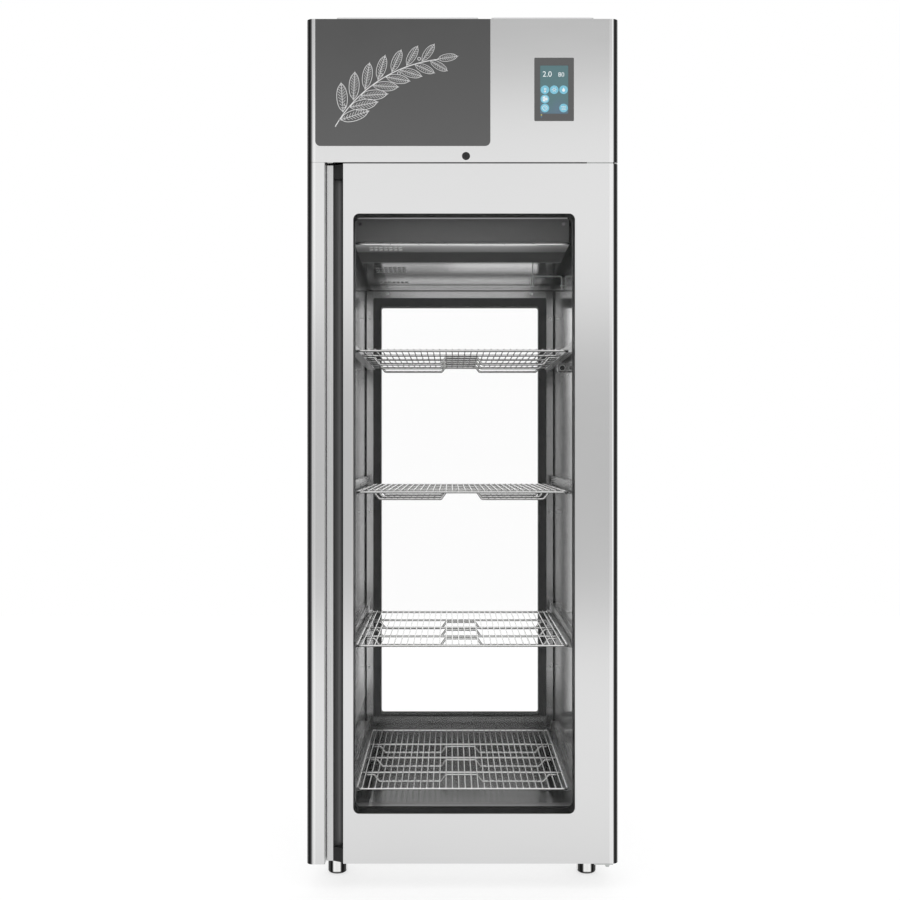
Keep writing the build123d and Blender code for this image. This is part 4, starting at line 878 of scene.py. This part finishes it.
def glass_bead():
    """A thin bead with its front edges rounded."""
    spacer_top = corners_of("door_glass_spacer")[1]
    piece = begin_block((BEAD_LENGTH, BEAD_THICKNESS, BEAD_HEIGHT),
                        (0, spacer_top.y - BEAD_THICKNESS / 2, spacer_top.z - BEAD_DROP - BEAD_HEIGHT / 2))
    pick(piece, "edges", lambda m: m.y < -BEAD_THICKNESS * 0.4)
    bpy.ops.mesh.bevel(offset=BEAD_THICKNESS * 0.35, segments=3)
    return piece


end(glass_bead(), "glass_bead", bead_painted_highlight, "door")


# The square lip along the outer edge of the grip

STRIP_FACE, LIP, LIP_EASE = -0.4030, 0.0030, 0.0005


def grip_lip():
    """A slim square bar with its outer edge eased."""
    low, high = corners_of("grip_profile")
    height = high.z - low.z
    piece = begin_block((LIP, LIP, height), (low.x + LIP / 2, STRIP_FACE + LIP / 2, low.z + height / 2))
    pick(piece, "edges", lambda m: m.x < -LIP * 0.4 and m.y < -LIP * 0.4)
    bpy.ops.mesh.bevel(offset=LIP_EASE, segments=3)
    return piece


end(grip_lip(), "grip_lip", grip_aluminium, "door")


# The port and the slot of the sensor on the right wall

PORT_RADIUS, PORT_THICKNESS, PORT_SINK = 0.0066, 0.0045, 0.006
RIM_RADIUS, RIM_WIDTH, RIM_THICKNESS = 0.0084, 0.0014, 0.0004
SLOT_WIDTH, SLOT_HEIGHT, SLOT_RISE = 0.0235, 0.0022, 0.0016
PORT_X, PORT_RISE, FACE_SINK = 0.2740, 0.0119, 0.0001
sensor_low, sensor_high = corners_of("wall_sensor")
PORT = {"x": PORT_X, "z": sensor_low.z + PORT_RISE}
SENSOR_FACE = sensor_low.y + FACE_SINK

plug = moved(disc(PORT_RADIUS, PORT_THICKNESS, 28), y=sensor_low.y + PORT_SINK, **PORT)
slot = moved(bar(SLOT_WIDTH, SLOT_HEIGHT, RIM_THICKNESS), x=(sensor_low.x + sensor_high.x) / 2, y=SENSOR_FACE,
             z=sensor_low.z + SLOT_RISE)
end(joined([plug, slot]), "sensor_port", black_plastic, "cabinet")
rim = moved(ring(RIM_RADIUS, RIM_WIDTH, RIM_THICKNESS, 28), y=SENSOR_FACE, **PORT)
end(rim, "sensor_rim", small_steel, "cabinet")


# The dark border printed on the rear window's inner pane

PANE_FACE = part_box("rear_glass")[0][1]
BORDER_HALF, BORDER_LOW, BORDER_HIGH = 0.2639, 0.2478, 1.5189
VIEW_HALF, VIEW_LOW, VIEW_HIGH, VIEW_CORNER = 0.2410, 0.2526, 1.4938, 0.004
PRINT_GAP, PRINT = 0.0002, 0.00015


def begin_frame(middle, half_width, half_height):
    """Opens an upright sheet for editing, whole and selected."""
    piece = begin(bpy.ops.mesh.primitive_plane_add, size=2, rotation=UPRIGHT, location=middle)
    select_sheet()
    bpy.ops.transform.resize(value=(half_width, 1, half_height), center_override=middle)
    return piece


def printed_border():
    """A thin print round the view: wide at the sides and top, narrow at the foot, round in the corners."""
    middle = (0, PANE_FACE - PRINT_GAP, (BORDER_LOW + BORDER_HIGH) / 2)
    lap = VIEW_LOW - BORDER_LOW
    piece = begin_frame(middle, BORDER_HALF, (BORDER_HIGH - BORDER_LOW) / 2)
    bpy.ops.mesh.inset(thickness=lap)
    pick(piece, "verts", lambda m: abs(m.x) < BORDER_HALF - lap * 0.5)
    bpy.ops.transform.resize(value=(VIEW_HALF / (BORDER_HALF - lap), 1, 1), center_override=middle)
    pick(piece, "verts", lambda m: abs(m.x) < BORDER_HALF - lap * 0.5 and m.z > 0)
    bpy.ops.transform.translate(value=(0, 0, VIEW_HIGH - BORDER_HIGH + lap))
    pick(piece, "verts", lambda m: abs(m.x) < BORDER_HALF - lap * 0.5)
    bpy.ops.mesh.bevel(offset=VIEW_CORNER, segments=4, affect="VERTICES")
    pick(piece, "faces", lambda m: abs(m.x) < 0.01 and abs(m.z) < 0.1)
    bpy.ops.mesh.delete(type="FACE")
    closed(PRINT)
    return piece


end(printed_border(), "rear_border", border_print, "cabinet")


# The door's seal: a foot, a bellows and a magnet head

seal_low, seal_high = corners_of("door_gasket")
SEAL_DEPTH = seal_high.y - seal_low.y
# Each band: how far inward from the outline, its width, its front and its back
SEAL_BANDS = ((0.0, 0.0140, 0.0, 0.0028),
              (0.0030, 0.0080, 0.0022, 0.0045),
              (0.0012, 0.0116, 0.0040, 0.0056),
              (0.0030, 0.0080, 0.0051, 0.0068),
              (0.0008, 0.0124, 0.0063, SEAL_DEPTH))


def seal_band(inward, width, front, back):
    """One band of the seal round the door's opening, from front to back, with its edges rounded."""
    middle = (0, seal_low.y + front, (seal_low.z + seal_high.z) / 2)
    piece = begin_frame(middle, seal_high.x - inward, (seal_high.z - seal_low.z) / 2 - inward)
    hollow(width)
    thicken((0, back - front, 0))
    bpy.ops.mesh.bevel(offset=min(width, back - front) * 0.3, segments=2)
    settle(piece)
    return piece


seal = joined([seal_band(*band) for band in SEAL_BANDS])
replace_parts(end(seal, "door_seal", rubber, "door"), "door_gasket")


# Camera, light and floor

camera = bpy.data.objects.new("camera", bpy.data.cameras.new("camera"))
bpy.context.scene.collection.objects.link(camera)
camera.location = (-0.030, -3.433, 1.0575)
camera.rotation_euler = UPRIGHT
camera.data.lens = 50
camera.data.sensor_width = 36
bpy.context.scene.camera = camera
bpy.context.scene.view_settings.view_transform = "Standard"


def studio():
    """A white room. Metal mirrors soft panels before and behind, dark flags aside and light from above."""
    world = bpy.data.worlds.new("studio")
    bpy.context.scene.world = world
    world.use_nodes = True
    x, y, z = (own(world, "Generated", axis) for axis in "XYZ")

    def degrees(angle):
        return reckoned(world, "MULTIPLY", angle, math.degrees(1))

    def levels(value, low, high, *stops):
        """Brightness along a value, at places in its own measure."""
        shares = [((at - low) / (high - low), level) for at, level in stops]
        return shades(world, mapped(world, value, low, high), *shares)

    def lights(*stops):
        """Brightness by the height above the horizon, in degrees."""
        return levels(height, -45, 45, *stops)

    def swing(*stops):
        """Brightness by the turn away from the front, in degrees."""
        return levels(turn, 0, 180, *stops)

    height = degrees(reckoned(world, "ARCSINE", z))
    front = reckoned(world, "MULTIPLY", y, -1)
    turn = reckoned(world, "ABSOLUTE", degrees(reckoned(world, "ARCTAN2", x, front)))

    centre = lights((-30, 0.80), (-18.8, 0.78), (-17.4, 0.90), (-13, 0.93), (-9, 0.95), (-6.4, 0.61),
                    (-4.5, 0.60), (4.0, 0.60), (7.2, 0.93), (9, 0.96), (15.0, 0.95), (17.2, 0.62),
                    (19.5, 0.53), (30, 0.85))
    beside = lights((-30, 0.85), (-18, 0.90), (20, 0.93), (35, 0.95))
    across = swing((44, 1), (54, 0.5), (64, 0.32), (69, 0.035), (79, 0.035), (86, 0.7), (118, 0.75),
                   (134, 0.88), (160, 0.88))
    behind_left = lights((-30, 0.16), (-17.8, 0.16), (-15.8, 0.64), (1, 0.58), (6, 1.1), (10, 1.1),
                         (13, 0.26), (30, 0.26))
    behind_right = lights((-30, 0.16), (-17.8, 0.16), (-15.8, 1.1), (-8, 1.1), (8, 1.1), (11, 0.24),
                          (30, 0.2))
    behind = over(world, reckoned(world, "GREATER_THAN", x, 0), behind_left, behind_right)
    flags = over(world, swing((160, 0), (168, 1)), across, behind)
    sides = over(world, swing((44, 0), (45, 1)), beside, flags)
    round_room = over(world, swing((13, 0), (16, 1)), centre, sides)
    far_up = levels(reckoned(world, "ABSOLUTE", height), 0, 90, (28, 0), (48, 1))
    mirrored = over(world, far_up, round_room, levels(height, -90, 90, (-60, 0.75), (20, 0.85), (70, 0.98)))

    path = node(world, "LightPath")
    soft = levels(z, -1, 1, (-1, 0.75), (0, 0.85), (1, 1.0))
    seen = reckoned(world, "MAXIMUM", path.outputs["Is Camera Ray"], path.outputs["Is Transmission Ray"])
    colour = over(world, seen, over(world, path.outputs["Is Glossy Ray"], soft, mirrored), grey(1.0))
    background = world.node_tree.nodes["Background"]
    give(world, background.inputs["Strength"], 1.0)
    give(world, background.inputs["Color"], colour)


def floor():
    """A pale floor that keeps a soft shadow."""
    bpy.ops.object.select_all(action="DESELECT")
    bpy.ops.mesh.primitive_plane_add(size=9)
    ground = bpy.context.object
    ground.name = "floor"
    pale_floor = glowing(finish("pale_floor", grey(0.42), 0.7, specular=0.0), grey(1.0), 0.66)
    ground.data.materials.append(pale_floor)
    ground.visible_glossy = False


studio()
floor()
